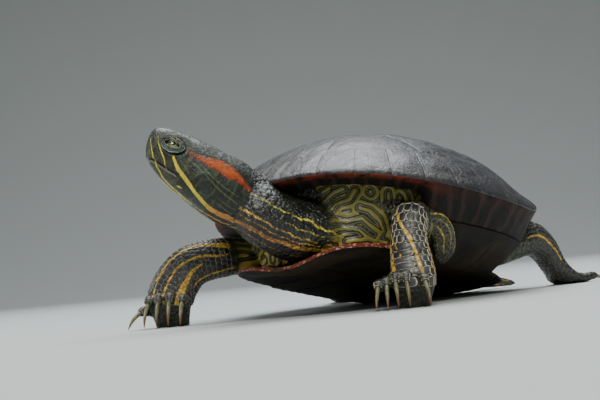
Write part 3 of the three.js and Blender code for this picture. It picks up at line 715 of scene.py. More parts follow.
def web_points(foot, bodies):
    """Skin between the digits of a hind foot: a thin flat fan from its heel to its knuckles."""
    tips = np.array([body.surface(body.length[-1:] * 0.82, np.zeros(1))[0] for body in bodies])
    heel = np.array([*foot["heel"], 2.0])
    share = np.linspace(-0.4, 1, 12)[:, None, None]
    across = np.linspace(0, len(tips) - 1, 25)
    rim = spline(tips, across)
    dip = 0.86 + 0.14 * np.cos(2 * np.pi * across) ** 2
    middle = heel + (rim - heel) * share * np.where(share > 0.5, dip[None, :, None], 1)
    middle[..., 2] = 2.0
    thick = np.array([0, 0, 0.7])
    return np.concatenate([middle + thick, (middle - thick)[:, ::-1]], 1)


def skin_parts(sizes, front):
    """Every closed length of flesh of one half of the body, before they are grown together."""
    inset = sizes.scale_thickness
    parts = [closed_tube(curtain(front))]
    if front:
        parts.append(closed_tube(NECK_BODY.tube(0.7, 120)))
        parts.append(closed_tube(ARMPIT_BODY.tube(0.8, 60, inset)))
        names = ("fore_left", "fore_right")
    else:
        parts.append(closed_tube(LIMB_BODIES["tail"].tube(0.8, 60)))
        names = ("hind_left", "hind_right")
    for name in names:
        foot = FEET[name]
        parts.append(closed_tube(LIMB_BODIES[name].tube(0.8, 84, inset)))
        bodies = [digit_body(foot, root, ahead, fall, height)
                  for root, ahead, _, fall, height in digit_frames(foot)]
        parts += [closed_tube(body.tube(0.5, 28)) for body in bodies]
        if not front:
            parts.append(closed_tube(web_points(foot, bodies)))
    points, faces = joined(parts)
    points[:, 2] = np.maximum(points[:, 2], 0)
    return points, faces


def grown_together(name, points, faces, voxel, rounds):
    """Fuses closed parts into one skin on a fine lattice and softens the folds where they meet."""
    mesh = mesh_of(name, points, faces)
    rough = bpy.data.objects.new(name, mesh)
    bpy.context.scene.collection.objects.link(rough)
    fuse = rough.modifiers.new("fuse", "REMESH")
    fuse.mode = "VOXEL"
    fuse.voxel_size = voxel / 1000
    fuse.use_smooth_shade = True
    soften = rough.modifiers.new("soften", "SMOOTH")
    soften.factor = 0.5
    soften.iterations = rounds
    view = bpy.context.evaluated_depsgraph_get()
    skin = bpy.data.meshes.new_from_object(rough.evaluated_get(view))
    bpy.data.objects.remove(rough)
    bpy.data.meshes.remove(mesh)
    skin.name = name
    return skin


# ---------- markings ----------
# Each stripe's rows give a distance along its body, a turn round it in degrees and a half width.
HEAD_STRIPES = (
    ((13.5, -10, 0.6), (17.7, -26, 1.0), (23.6, -36, 1.1), (30.7, -50, 1.15), (36, -57, 1.3),
     (41.9, -61, 1.6), (50, -57, 1.9), (62, -56, 1.5), (74, -52, 1.4), (83, -48, 1.5), (92, -48, 1.6),
     (100, -41, 1.4), (106, -32, 0.9)),
    ((0.9, -26, 0.25), (6.1, -49, 0.4), (9.5, -66, 0.5), (15.3, -82, 0.6), (25, -85, 0.6), (34, -88, 0.2)),
    ((3.4, 14, 0.15), (4.6, 0, 0.25), (7.1, -12, 0.3), (10.7, -29, 0.35), (13.3, -46, 0.2)),
    ((21.5, -66, 0.1), (23, -64, 0.8), (25, -61, 0.1)),
    ((36, -86, 0.3), (45, -80, 0.6), (60, -76, 0.7), (75, -74, 0.6), (92, -72, 0.5), (104, -70, 0.3)),
    ((52, -21, 0.2), (60, -22, 0.4), (67, -23, 0.8), (76, -24, 0.5), (81, -26, 0.7), (94, -30, 0.7)),
    ((58, 14, 0.2), (67, 11, 0.4), (78, 6, 0.6), (89, 4, 0.8), (98, -8, 0.8), (104, -16, 0.4)),
    ((62, -38, 0.2), (70, -36, 0.5), (80, -37, 0.6), (94, -37, 0.7), (102, -30, 0.4)),
    ((72, -8, 0.2), (80, -9, 0.5), (90, -14, 0.7), (98, -18, 0.5)),
)
CHEEK_LINES = (
    ((20, 1, 0.1), (26.2, -3, 0.3), (37.3, -14, 0.3), (44.6, -19, 0.35), (52, -21, 0.2)),
    ((26, 3, 0.1), (33, -4, 0.3), (42, -8, 0.3), (50, -10, 0.15)),
    ((16, -6, 0.1), (22, -18, 0.25), (28, -30, 0.1)),
    ((6, -22, 0.1), (10, -34, 0.25), (15, -50, 0.2), (20, -60, 0.1)),
    ((38, -40, 0.1), (45, -42, 0.3), (54, -44, 0.2)),
    ((40, -30, 0.1), (47, -33, 0.25), (56, -34, 0.2)),
)
EAR_PATCH = ((16.5, 12, 0.2), (21, 12, 0.9), (25, 12.5, 1.3), (31, 14.5, 2.6), (37, 19, 3.7), (43, 19, 3.3),
             (47.5, 15, 1.9), (50, 12, 1.5), (53, 8, 1.2), (56, 4, 0.2))
LIMB_STRIPES = {
    "fore_left": (
        ((28, 128, 0.4), (33.3, 112, 0.8), (36.8, 98, 0.8), (40.4, 88, 0.75), (43.7, 83, 0.6),
         (48.6, 77, 0.6), (55.1, 73, 0.6), (60, 68, 0.4)),
        ((40, 170, 0.4), (46, 160, 0.9), (50.8, 151, 1.4), (56.9, 142, 1.5), (60.5, 138, 1.2)),
        ((34, 166, 0.3), (41.1, 143, 0.45), (44.4, 127, 0.45), (48.3, 115, 0.45), (52.2, 108, 0.35)),
        ((34, 28, 0.3), (44, 22, 0.5), (56, 20, 0.5), (64, 24, 0.3)),
        ((30, -60, 0.5), (46, -70, 1.2), (62, -76, 1.1), (68, -80, 0.4))),
    "fore_right": (
        ((42, 108, 1.6), (47.2, 118, 1.5), (50, 124, 0.9), (54, 134, 0.75), (58.2, 139, 0.7),
         (67.3, 139, 0.65), (77.6, 130, 0.6), (84, 118, 0.4)),
        ((44, 86, 0.25), (49.7, 90, 0.4), (56.8, 101, 0.45), (66.7, 104, 0.4), (78.4, 97, 0.35),
         (84, 94, 0.2)),
        ((56, 83, 0.2), (62.3, 77, 0.7), (69.2, 67, 1.2), (75, 63, 1.5), (81.1, 62, 1.5), (84, 63, 1.1)),
        ((40, 40, 0.4), (52, 44, 0.45), (62, 42, 0.4), (70, 38, 0.2)),
        ((44, 168, 0.5), (58, 178, 0.8), (74, 176, 0.7), (84, 172, 0.4)),
        ((44, -60, 0.5), (60, -70, 1.2), (78, -76, 1.1), (84, -80, 0.4))),
    "hind_left": (
        ((30, 60, 0.4), (44, 52, 0.5), (56, 50, 0.45), (68, 60, 0.35), (82, 70, 0.2)),
        ((30, 110, 0.35), (46, 118, 0.4), (60, 122, 0.4), (74, 112, 0.2)),
        ((30, 10, 0.4), (44, 4, 0.5), (58, 2, 0.5), (72, 10, 0.2)),
        ((28, -40, 0.5), (44, -46, 0.8), (58, -50, 0.6), (68, -50, 0.2)),
        ((30, 175, 0.4), (48, 180, 0.5), (64, 178, 0.4))),
    "hind_right": (
        ((30, 60, 0.8), (44, 52, 1.1), (56, 50, 1.0), (68, 60, 0.6), (78, 70, 0.3)),
        ((30, 110, 0.6), (46, 118, 0.8), (60, 122, 0.8), (70, 112, 0.5)),
        ((30, 10, 0.6), (44, 4, 1.1), (58, 2, 1.0), (70, 10, 0.4)),
        ((28, -40, 0.6), (44, -46, 1.2), (58, -50, 0.9), (66, -50, 0.3))),
    "tail": (
        ((4, 20, 0.6), (30, 24, 0.7), (52, 22, 0.4), (66, 20, 0.2)),
        ((4, 160, 0.6), (30, 156, 0.7), (52, 158, 0.4), (66, 160, 0.2)),
        ((4, -30, 0.8), (30, -34, 0.8), (60, -40, 0.3)), ((4, -150, 0.8), (30, -146, 0.8), (60, -140, 0.3))),
}
ARMPIT_STRIPES = (
    ((2, 34, 0.3), (10, 24, 0.5), (18, 20, 0.55), (25, 26, 0.5), (31, 50, 0.3)),
    ((6, 66, 0.1), (14, 60, 0.25), (22, 66, 0.25), (28, 80, 0.1)),
    ((5, 104, 0.1), (14, 98, 0.3), (22, 104, 0.35), (28, 110, 0.2)),
    ((5, 146, 0.1), (14, 140, 0.25), (24, 146, 0.15)))
EAR_DRUM = (32.5, -25, 4.9)

# The yellow bands of the shoulders' loose skin: seen from a point inside the shell, each runs through
# these turns and rises, in degrees. Dark lines follow them at even distances.
BAND_PITCH = 3.4
BAND_EYE = np.array([20.0, -42.0, -8.0])
BANDS = (
    ((36, 15), (36.5, 15.5)), ((25, 0), (34, -3), (44, -14), (49, -24)),
    ((22, 17), (16, 9), (4, 5), (-2, -2), (-4, -7)), ((12, 18), (5, 16), (-6, 8), (-5, -2)),
    ((1, 19), (-9, 14), (-7, -1)), ((0, -11), (3, -8), (12, -11), (26, -10), (35, -19), (46, -27), (37, -34)),
    ((2, -16), (9, -16), (22, -20), (29, -28)), ((-7, -6), (-5, -14), (-4, -22), (-2, -28)),
    ((10, -27), (19, -28), (31, -30), (55, -39)), ((54, 14), (54, 3)), ((66, 10), (70, -8), (66, -24)),
    ((98, -7), (117, -13), (137, -15), (153, -20)), ((96, 4), (116, -1), (140, -4)),
)


def band_gap(points):
    """Millimetres to the middle of the nearest yellow band, alike on both sides of the shell: the
    shortest way to straight pieces between the bands' points, all as seen from inside the shell."""
    local = (points - [0, 0, SHELL_HEIGHT]) @ SHELL_TURN
    local = np.abs(local) * [1, 0, 0] + local * [0, 1, 1] - BAND_EYE
    reach = np.linalg.norm(local, axis=1)
    way = local / reach[:, None]
    gap = np.full(len(points), 9.0)
    for band in BANDS:
        turn, rise = np.radians(np.array(band, float)).T
        stops = np.stack([np.sin(turn) * np.cos(rise), -np.cos(turn) * np.cos(rise), np.sin(rise)], -1)
        for start, end in zip(stops[:-1], stops[1:]):
            run = end - start
            share = np.clip((way - start) @ run / (run @ run), 0, 1)
            gap = np.minimum(gap, np.linalg.norm(way - start - share[:, None] * run, axis=1))
    return gap * reach


def stripe_gap(body, length, turn, stripes, mirrored=False):
    """The distance to the edge of the nearest stripe, in millimetres and negative on a stripe. Along its
    body a stripe's turn and half width run straight between its rows, and past its ends it fades."""
    size = body.at(length)[3][:, :2].mean(1)
    degrees = np.degrees(turn)
    gap = np.full(len(length), 9.0)
    for stripe in stripes:
        stops, turns, halves = np.array(stripe).T
        beyond = np.maximum(stops[0] - length, 0) + np.maximum(length - stops[-1], 0)
        half = np.interp(length, stops, halves)
        for side in ((1, -1) if mirrored else (1,)):
            middle = np.interp(length, stops, turns)
            middle = middle if side == 1 else 180 - middle
            away = np.abs((degrees - middle + 180) % 360 - 180) * np.pi / 180 * size
            gap = np.minimum(gap, np.hypot(away, beyond) - half * (beyond == 0))
    return gap


def wandering(length, turn):
    """A turn round the neck, swayed to and fro by up to two degrees behind the head."""
    sway = np.sin(0.62 * length + 1.7 * turn) + 0.6 * np.sin(1.43 * length - 2.3 * turn + 1.0)
    return turn + 0.021 * sway * smooth(length, 42, 56)


def neck_stripes(length, turn):
    """The gap to the stripes of head and neck, which grow thinner towards the neck's root."""
    gap = stripe_gap(NECK_BODY, length, wandering(length, turn), HEAD_STRIPES, True)
    return gap + 0.3 * smooth(length, 58, 84)


def neck_warmth(length, turn):
    """How orange the stripes are: yellow on the head, orange under the neck, yellow again at its root."""
    warm = smooth(length, 34, 46) * (1 - 0.75 * smooth(length, 82, 100))
    return warm * smooth(-np.sin(turn), 0.1, 0.6)


def limb_warmth(turn):
    """How orange a limb's stripes are: more so beneath."""
    return 0.55 + 0.3 * smooth(-np.sin(turn), -0.6, 0.6)


def nearest_bodies(points, front):
    """For every body near this half of the skin: its name, and each point's length, turn and reach."""
    bodies = {"neck": NECK_BODY} if front else {"tail": LIMB_BODIES["tail"]}
    for name in ("fore_left", "fore_right") if front else ("hind_left", "hind_right"):
        bodies[name] = LIMB_BODIES[name]
    if front:
        bodies["armpit"] = ARMPIT_BODY
    return {name: (body, *body.locate(points)) for name, body in bodies.items()}


def skin_fields(points, front):
    """What the skin's material reads at each point: how far it is from a yellow stripe, from the red
    patch and from a pale line, how orange its stripes are, and how much it belongs to the head, the
    neck, the limbs or the loose skin between them."""
    found = nearest_bodies(points, front)
    reach = np.stack([row[3] for row in found.values()])
    nearest = reach.argmin(0)
    on_limb = 1 - smooth(reach.min(0), 1.12, 1.4)
    fields = {name: np.full(len(points), value) for name, value in dict(
        stripe=9.0, ear=9.0, line=9.0, warm=0.35, head=0.0, neck=0.0, limb=0.0, drum=9.0, mouth=9.0,
        crown=0.0).items()}
    for index, (name, (body, length, turn, _)) in enumerate(found.items()):
        if name == "neck":
            around = np.where(np.cos(turn) > 0, np.degrees(turn), 180 - np.degrees(turn))
            around = ((around + 180) % 360 - 180 - EAR_DRUM[1]) * np.pi / 180
            around = around * body.at(length)[3][:, :2].mean(1)
            found_here = dict(
                stripe=neck_stripes(length, turn),
                ear=stripe_gap(body, length, turn, (EAR_PATCH,), True),
                line=stripe_gap(body, length, turn, CHEEK_LINES, True),
                warm=neck_warmth(length, turn),
                head=1 - smooth(length, 44, 60),
                neck=smooth(length, 44, 60) * on_limb * (1 - smooth(length, 92, 106)),
                crown=smooth(np.sin(turn), 0.25, 0.75),
                drum=np.hypot(length - EAR_DRUM[0], around) - EAR_DRUM[2])
        elif name == "armpit":
            found_here = dict(stripe=stripe_gap(body, length, turn, ARMPIT_STRIPES), limb=on_limb,
                              warm=np.full(len(points), 0.15))
        else:
            outer = smooth(length / body.length[-1], *((0.4, 0.55) if front else (0.1, 0.24)))
            start = PLATES[name]["start"]
            found_here = dict(
                stripe=stripe_gap(body, length, turn, LIMB_STRIPES[name]), warm=limb_warmth(turn),
                limb=np.maximum(on_limb * smooth(length, start - 8, start + 1), outer))
        for field, values in found_here.items():
            fields[field] = np.where(nearest == index, values, fields[field])
    fields["stripe"] += 4 * (1 - on_limb)
    if not front:
        fields["limb"] = np.maximum(fields["limb"], 0.68)
    fields["streak"] = np.zeros(len(points))
    if front:
        local = into_head(points)
        fields["mouth"] = np.where(fields["head"] > 0.5, mouth_gap(local), 9.0)
        fields["streak"] = ripple(local * [1, 1, 0.16], 3.4, 33) * fields["head"]
    fields["weave"] = band_gap(points) if front else 7 * reach.min(0) + ripple(points, 24, 31)
    return fields


def mouth_gap(local):
    """Millimetres above the mouth's line, and 9 behind its corners."""
    along, up = local[:, 1], local[:, 2]
    line = MOUTH_LEVEL - np.tan(np.radians(MOUTH_SLOPE)) * np.maximum(along, -1)
    line = line + 0.5 * smooth(along, 9, 14) - 0.5 * bump(along, -2, 2)
    return np.where(along < 14.5, up - line, 9.0)


def eye_frame(side):
    """The eye's centre in the head's frame, and its ways out, back and up. The gaze runs out and a little
    ahead and up."""
    out = unit(np.array([side * 0.93, -0.3, 0.2]))
    back = unit(np.cross(np.cross(out, [0, 1, 0]), out))
    up = np.cross(out, back) * side
    return EYE_AT * [side, 1, 1], out, back, up if up[2] > 0 else -up


def head_relief(points):
    """How far the head's skin stands out: the lids' hollow and its rim, the brow, the mouth's groove
    between its lips, the nostrils and the cheek, each a bell or a soft step about its place."""
    local = into_head(points)
    out, along, up = np.abs(local[:, 0]), local[:, 1], local[:, 2]
    rise = np.zeros(len(points))
    eye = np.hypot((along - EYE_AT[1]) / 6.4, (up - EYE_AT[2]) / 4.8)
    flank = smooth(out, 2.5, 5.5)
    rise -= 1.7 * (1 - smooth(eye, 0.7, 0.93)) * flank
    rise += 0.2 * bump(eye, 1.06, 0.12) * flank
    rise += 0.5 * bump(up - EYE_AT[2], 6.3, 1.8) * bump(along, 7.5, 5) * flank
    below = mouth_gap(local)
    length = 1 - smooth(along, 12.6, 14.6)
    rise -= 0.9 * bump(below, 0, 0.42) * length
    rise += 0.22 * bump(below, 1.3, 0.9) * length
    chin = smooth(-below, 0, 1.2) * (1 - smooth(-below, 2.2, 5)) * (1 - smooth(along, 4, 14))
    rise -= 0.35 * chin * length
    nostril = np.sqrt(((out - 1.7) / 0.75) ** 2 + ((up - 8.2) / 0.6) ** 2) + 9 * smooth(along, -1.6, 0)
    rise -= 0.8 * bump(nostril, 0, 0.9)
    rise += 0.12 * bump(nostril, 1.5, 0.5)
    return rise + 0.4 * bump(along, 22, 9) * bump(up, -5, 5) * smooth(out, 6, 10)


def skin_relief(points, fields):
    """How far the skin stands out: the head's features, the ear's drum and its rim, beads on the neck and
    crown, a groove round the red patch, folds and the bands' waves where it is loose, and unevenness on
    the limbs."""
    rise = head_relief(points) * fields["head"]
    drum = fields["drum"]
    rise += (0.4 * bump(drum, 0.3, 0.6) - 0.45 * (1 - smooth(drum, -1.4, 0.2))) * fields["head"]
    beads = ripple(points, 2.6, 11) * 0.5 + ripple(points, 1.7, 12) * 0.5
    grainy = np.maximum(fields["neck"], fields["head"] * fields["crown"] * 0.25)
    rise += 0.28 * beads * grainy - 0.1 * bump(fields["ear"], 0, 0.5) * fields["head"]
    folds = ripple(points * [1, 1, 0.45], 9, 13)
    loose = np.clip(1 - fields["head"] - 0.7 * fields["neck"] - 0.8 * fields["limb"], 0, 1)
    rise += (0.4 * folds + 0.35 * np.cos(2 * np.pi * fields["weave"] / BAND_PITCH)) * loose
    rise += 0.16 * ripple(points, 3.2, 14) * fields["limb"]
    return rise


def refined(mesh, chosen):
    """Cuts the chosen faces into four."""
    work = bmesh.new()
    work.from_mesh(mesh)
    work.faces.ensure_lookup_table()
    edges = {edge for index in np.flatnonzero(chosen) for edge in work.faces[index].edges}
    bmesh.ops.subdivide_edges(work, edges=list(edges), cuts=1, use_grid_fill=True)
    work.to_mesh(mesh)
    work.free()
    return mesh


def face_middles(mesh):
    """The middles of a mesh's faces, in millimetres."""
    middles = np.empty(len(mesh.polygons) * 3, np.float32)
    mesh.polygons.foreach_get("center", middles)
    return middles.reshape(-1, 3).astype(float) * 1000 - SHIFT


def skin_mesh(sizes, front):
    """One half's skin: its lengths grown together, cut finer on the head, then moved by its relief."""
    name = "skin_front" if front else "skin_rear"
    points, faces = skin_parts(sizes, front)
    mesh = grown_together(name, points, faces, sizes.skin_lattice if front else sizes.skin_lattice * 1.1, 4)
    if front:
        local = into_head(face_middles(mesh))
        face = (local[:, 1] < 46) & (np.abs(local[:, 0]) < 18) & (np.abs(local[:, 2]) < 20)
        refined(mesh, face)
    points, normals = read_points(mesh)
    fields = skin_fields(points, front)
    points = points + normals * skin_relief(points, fields)[:, None]
    points[:, 2] = np.maximum(points[:, 2], 0)
    move_points(mesh, points)
    write_fields(mesh, fields)
    return mesh


# ---------- eyes and lids ----------
def cap_points(centre, out, back, up, radii, angle, turn):
    """Points of an ellipsoid about an axis out of the head: an angle from the axis and a turn round it."""
    local = (np.cos(angle) * radii[0])[..., None] * out
    local = local + (np.sin(angle) * np.cos(turn) * radii[1])[..., None] * back
    return centre + local + (np.sin(angle) * np.sin(turn) * radii[2])[..., None] * up


def eye_mesh(name, side):
    """The eyeball: an ellipsoid round the way of the gaze, with a clear bulge over the iris."""
    centre, out, back, up = eye_frame(side)
    angle = np.linspace(0.02, np.pi - 0.02, 72)[:, None] + np.zeros((1, 72))
    turn = np.zeros((72, 1)) + np.linspace(0, 2 * np.pi, 72, endpoint=False)
    rings = cap_points(centre, out, back, up, EYEBALL, angle, turn)
    rings = rings + 0.35 * (1 - smooth(angle, 0.3, 0.72))[..., None] * out
    points, faces = closed_tube(rings)
    mesh = mesh_of(name, from_head(points), outward(points, faces))
    away = np.concatenate([angle.ravel(), angle[0, :1], angle[-1, :1]])
    level = np.concatenate([(np.sin(angle) * np.sin(turn)).ravel(), [0, 0]])
    write_fields(mesh, dict(away=away, level=level))
    return mesh


def lids_mesh(name, side):
    """Both lids as one ring: from an opening close over the eyeball, out over a raised margin, folds that
    wander as they follow it and a low outer ring, to an uneven oval edge sunk in the skin, and back
    inside. Every height is a sum of bells, soft steps and a sine of the share of the way out."""
    centre, out, back, up = eye_frame(side)
    turn = np.linspace(0, 2 * np.pi, 144, endpoint=False)[None, :]
    share = np.linspace(0, 1, 30)[:, None]
    above = smooth(np.sin(turn), -0.15, 0.25)
    half_wide, half_below, half_above = LID_OPENING
    opening = mix(half_below, half_above, above) * power(np.sin(turn), 1.15)
    opening = opening - 0.25 * smooth(np.cos(turn), -0.2, 1) - 0.1
    uneven = 1 + 0.035 * np.sin(3 * turn + 1.1) + 0.025 * np.sin(7 * turn + 0.4)
    wide = mix(half_wide * np.cos(turn) - 0.45, LID_EDGE[0] * uneven * np.cos(turn), share)
    tall = mix(opening, LID_EDGE[1] * uneven * np.sin(turn), share)
    ball = EYEBALL[0] * np.sqrt(np.clip(1 - (wide / 4.9) ** 2 - (tall / 4.6) ** 2, 0.0, 1))
    away = np.hypot(wide / 1.2, tall)
    height = np.maximum(ball + 0.4, mix(3.3, 2.2, smooth(away, 3.4, 5.2)))
    drift = 1.5 * np.sin(2 * turn + 0.6) + 1.1 * np.sin(5 * turn + 2.0) + 0.6 * np.sin(11 * turn)
    folds = np.sin(share * np.pi * 7 + drift) * smooth(share, 0.1, 0.25) * (1 - smooth(share, 0.75, 0.95))
    height = height + mix(0.12, 0.24, above) * folds
    height = height + 0.3 * bump(share, 0.05, 0.07) + 0.5 * above * bump(share, 0.32, 0.2)
    height = height + 0.3 * (1 - 0.8 * above) * uneven ** 4 * bump(share, 0.84, 0.07)
    height = height - (1.2 + 0.3 * np.sin(4 * turn + 2.2)) * smooth(share, 0.88, 1)
    top = np.stack([height, wide, tall], -1)
    rim = np.stack([height[:1] - 0.5, wide[:1] * 1.01, tall[:1] * 1.01], -1)
    under = np.stack([height - 1.0, wide, tall], -1)[1:]
    local = np.concatenate([top[::-1], rim, under], 0)
    points = centre + local[..., :1] * out + local[..., 1:2] * back + local[..., 2:] * up
    rings, sides, _ = points.shape
    grid = np.arange(rings * sides).reshape(rings, sides)
    points = from_head(points.reshape(-1, 3))
    mesh = mesh_of(name, points, outward(points, (ring_quads(np.vstack([grid, grid[:1]])),)))
    edge = np.concatenate([share[::-1, 0], [0], share[1:, 0]])[:, None] + 0 * turn
    write_fields(mesh, dict(lid=edge.ravel(), upper=(above + 0 * edge).ravel()))
    return mesh


# ---------- claws ----------
def claw_rings(foot, root, ahead, side, fall):
    """A claw: rings along a steady bend, which taper to a blunt tip, a little taller than wide, with a
    ridge along the back and a groove beneath."""
    length, width, bend = foot["claw"]
    steps = 30
    share = np.linspace(0, 1, steps)
    angle = fall + np.radians(mix(-bend, bend, share))
    heading = falling(ahead, angle[:, None])
    pieces = heading[:-1] * length / (steps - 1)
    start = root + ahead * foot["reach"] - falling(ahead, fall - np.radians(bend)) * 0.6
    centre = start + np.vstack([np.zeros(3), np.cumsum(pieces, 0)]) * (1 + 0.6 / length)
    up = np.cross(side, heading)
    up = up * np.sign(up[:, 2:])
    blunt = np.sqrt(np.clip(1 - (share - 0.97) / 0.03, 0.05, 1))
    thick = width / 2 * CLAW_SLIMNESS * (1 - CLAW_TAPER * share ** 2.6) * blunt
    turn = np.linspace(0, 2 * np.pi, 18, endpoint=False)
    tall = np.sin(turn) * mix(1.3, 1.0, share)[:, None] + 0.12 * bump(turn, np.pi / 2, 0.4)
    tall = np.where(np.sin(turn) < 0, tall * 0.82, tall)
    wide = np.cos(turn) * (1 - 0.08 * np.sin(turn))
    return (centre[:, None] + (wide * thick[:, None])[..., None] * side
            + (tall * thick[:, None])[..., None] * up[:, None]), share


def claws_mesh(name, foot):
    """All the claws of one foot, with each point's share of the way to the tip."""
    parts, along = [], []
    for root, ahead, side, fall, _ in digit_frames(foot):
        rings, share = claw_rings(foot, root, ahead, side, fall)
        rings[..., 2] = np.maximum(rings[..., 2], 0.05)
        parts.append(closed_tube(rings))
        along.append(np.concatenate([np.repeat(share, rings.shape[1]), [0, 1]]))
    points, faces = joined(parts)
    mesh = mesh_of(name, points, faces)
    write_fields(mesh, dict(tip=np.concatenate(along)))
    return mesh


# ---------- plates on the limbs ----------
# For each limb: where its plates start and end, their pitch along it, their width, where one broad plate
# takes the place of several (its first and last row's distance and its turns) if any does, and how pale their
# rims are, a paleness that is partly painted highlight.
PLATES = {
    "fore_left": dict(start=25, end=62, pitch=3.2, width=3.5, broad=(43.5, 68, 82, 150), rim=1.0),
    "fore_right": dict(start=42, end=85, pitch=2.4, width=2.5, broad=(66, 80, 108, 130), rim=0.45),
    "hind_left": dict(start=34, end=80, pitch=3.0, width=3.1, broad=(52, 70, 66, 112), rim=0.25),
    "hind_right": dict(start=32, end=74, pitch=3.0, width=3.1, broad=(48, 66, 66, 112), rim=0.25),
    "tail": dict(start=14, end=68, pitch=2.2, width=2.3, broad=None, rim=0.25),
}


def plate_plan(body, layout, seed):
    """Centres and half sizes of a limb's plates: rings of them in brick fashion, a little uneven."""
    random = np.random.default_rng(seed)
    first, last, low, high = layout["broad"] or (np.inf, np.inf, 0, 0)
    plan = []
    for row, length in enumerate(np.arange(layout["start"], layout["end"], layout["pitch"])):
        half = body.at(np.array([length]))[3][0]
        girth = np.pi * (half[0] + half[1])
        count = max(5, int(round(girth / layout["width"])))
        edges = (np.arange(count + 1) + 0.5 * (row % 2)) * 360 / count
        edges = edges + random.uniform(-0.14, 0.14, count + 1) * 360 / count
        edges[-1] = edges[0] + 360
        middles = (edges[1:] + edges[:-1]) / 2 % 360
        halves = (edges[1:] - edges[:-1]) / 2
        kept = np.ones(count, bool)
        if first < length < last:
            kept = (middles < low) | (middles > high)
            plan.append([length, (low + high) / 2, layout["pitch"] * 0.56, (high - low) / 2])
        for middle, wide in zip(middles[kept], halves[kept]):
            uneven = random.uniform(-0.12, 0.12) * layout["pitch"]
            plan.append([length + uneven, middle, layout["pitch"] * 0.55, wide])
    return np.array(plan)


# The unwrap's length along a body, how far each further body is set on, and half a patch's size.
UNWRAP_LENGTH = 130.0
UNWRAP_STEP = 20.0
UNWRAP_PATCH = 0.0014
PLATE_RINGS = ((0.4, 1.0), (0.75, 0.86), (0.92, 0.52), (1.0, 0.1), (0.98, -0.9))
BEAD_RINGS = ((0.6, 0.8), (1.0, -0.6))


def plate_shape(rings, corners, squareness):
    """One plate's points as shares of its half sizes: round a rounded rectangle, ring by ring, each with
    a share of the way out and of the height, between a middle above and one beneath."""
    turn = np.linspace(0, 2 * np.pi, corners, endpoint=False)
    shares, heights = np.array(rings).T
    along = np.concatenate([[0], (shares[:, None] * power(np.cos(turn), squareness)).ravel(), [0]])
    aside = np.concatenate([[0], (shares[:, None] * power(np.sin(turn), squareness)).ravel(), [0]])
    height = np.concatenate([[1.05], np.repeat(heights, corners), heights[-1:]])
    share = np.concatenate([[0], np.repeat(shares, corners), [1]])
    grid = 1 + np.arange(len(shares) * corners).reshape(len(shares), corners)
    ahead = np.roll(grid, -1, 1)
    top = np.stack([ahead[0], grid[0], 0 * grid[0]], -1)
    base = np.stack([grid[-1], ahead[-1], 0 * grid[-1] + len(along) - 1], -1)
    return along, aside, height, share, (ring_quads(grid), np.vstack([top, base]))


def laid_plates(body, plan, thick, shape):
    """Plates laid on a body by a plan of lengths, turns and half sizes, with their far ends raised."""
    along, aside, height, share, faces = shape
    lift = thick * (0.75 * height + 0.35 * along * (height > -0.5) - 0.75)
    length = plan[:, :1] + plan[:, 2:3] * along * 0.94
    around = np.radians(plan[:, 1:2] + plan[:, 3:4] * aside * 0.95)
    points = body.surface(length, around, lift[None, :])
    points[..., 2] = np.maximum(points[..., 2], 0)
    starts = (np.arange(len(plan)) * len(along))[:, None, None]
    return (points.reshape(-1, 3), tuple((starts + group).reshape(-1, group.shape[1]) for group in faces),
            length.ravel(), around.ravel(), np.tile(share, len(plan)))


def plates_mesh(name, laid, fields, plans, spots, seed):
    """One mesh of many plates, with its markings, its tones and an unwrap in which every plate is a small
    patch at its root's place."""
    points, faces = joined([row[:2] for row in laid])
    mesh = mesh_of(name, points, faces)
    count = sum(len(plan) for plan in plans)
    each = len(spots)
    liveliest = 0.35 if "hind" in name or "tail" in name else 1.0
    tone = np.repeat(np.random.default_rng(seed + 50).uniform(0, liveliest, count), each)
    write_fields(mesh, dict(fields, edge=np.concatenate([row[4] for row in laid]), tone=tone))
    roots = np.concatenate([np.stack([(plan[:, 0] + UNWRAP_STEP * part) / UNWRAP_LENGTH % 1,
                                      plan[:, 1] % 360 / 360], -1) for part, plan in enumerate(plans)])
    places = (0.01 + 0.98 * roots[:, None] + spots[None] * UNWRAP_PATCH).reshape(-1, 2)
    layer = mesh.uv_layers.new(name="OFBake")
    layer.data.foreach_set("uv", places[corner_points(mesh)].astype(np.float32).ravel())
    return mesh


def limb_plates(limb, sizes, seed):
    """A limb's plates, and on a forefoot the cross plates of its digits."""
    body, plan = LIMB_BODIES[limb], plate_plan(LIMB_BODIES[limb], PLATES[limb], seed)
    shape = plate_shape(PLATE_RINGS, 12, 0.62)
    laid, plans = [laid_plates(body, plan, sizes.scale_thickness, shape)], [plan]
    if limb in FEET:
        foot = FEET[limb]
        for index, (root, ahead, _, fall, height) in enumerate(digit_frames(foot)):
            digit = digit_body(foot, root, ahead, fall, height)
            plan = digit_plan(digit, seed + 7 * index)
            laid.append(laid_plates(digit, plan, sizes.scale_thickness * 0.8, shape))
            plans.append(plan)
    fields = limb_fields(body, laid[0][2], laid[0][3], limb)
    rest = sum(len(row[0]) for row in laid[1:])
    plain = dict(stripe=9.0, ear=9.0, line=9.0, warm=0.6)
    fields = {key: np.concatenate([values, np.full(rest, plain[key])]) for key, values in fields.items()}
    fields["rim"] = np.full(len(fields["stripe"]), PLATES[limb]["rim"])
    return plates_mesh("scales_" + limb, laid, fields, plans, np.stack(shape[:2], -1), seed)


def digit_plan(body, seed):
    """A digit's plates: rows of one broad plate over its back between two narrow ones."""
    random = np.random.default_rng(seed)
    pitch = 1.75
    rows = np.arange(2.2, body.length[-1] - 0.2, pitch)
    turns, halves = np.array([90, 14, 166]), np.array([44, 24, 24])
    plan = [[row + random.uniform(-0.1, 0.1), turn, pitch * 0.62, half]
            for row in rows for turn, half in zip(turns, halves)]
    return np.array(plan)


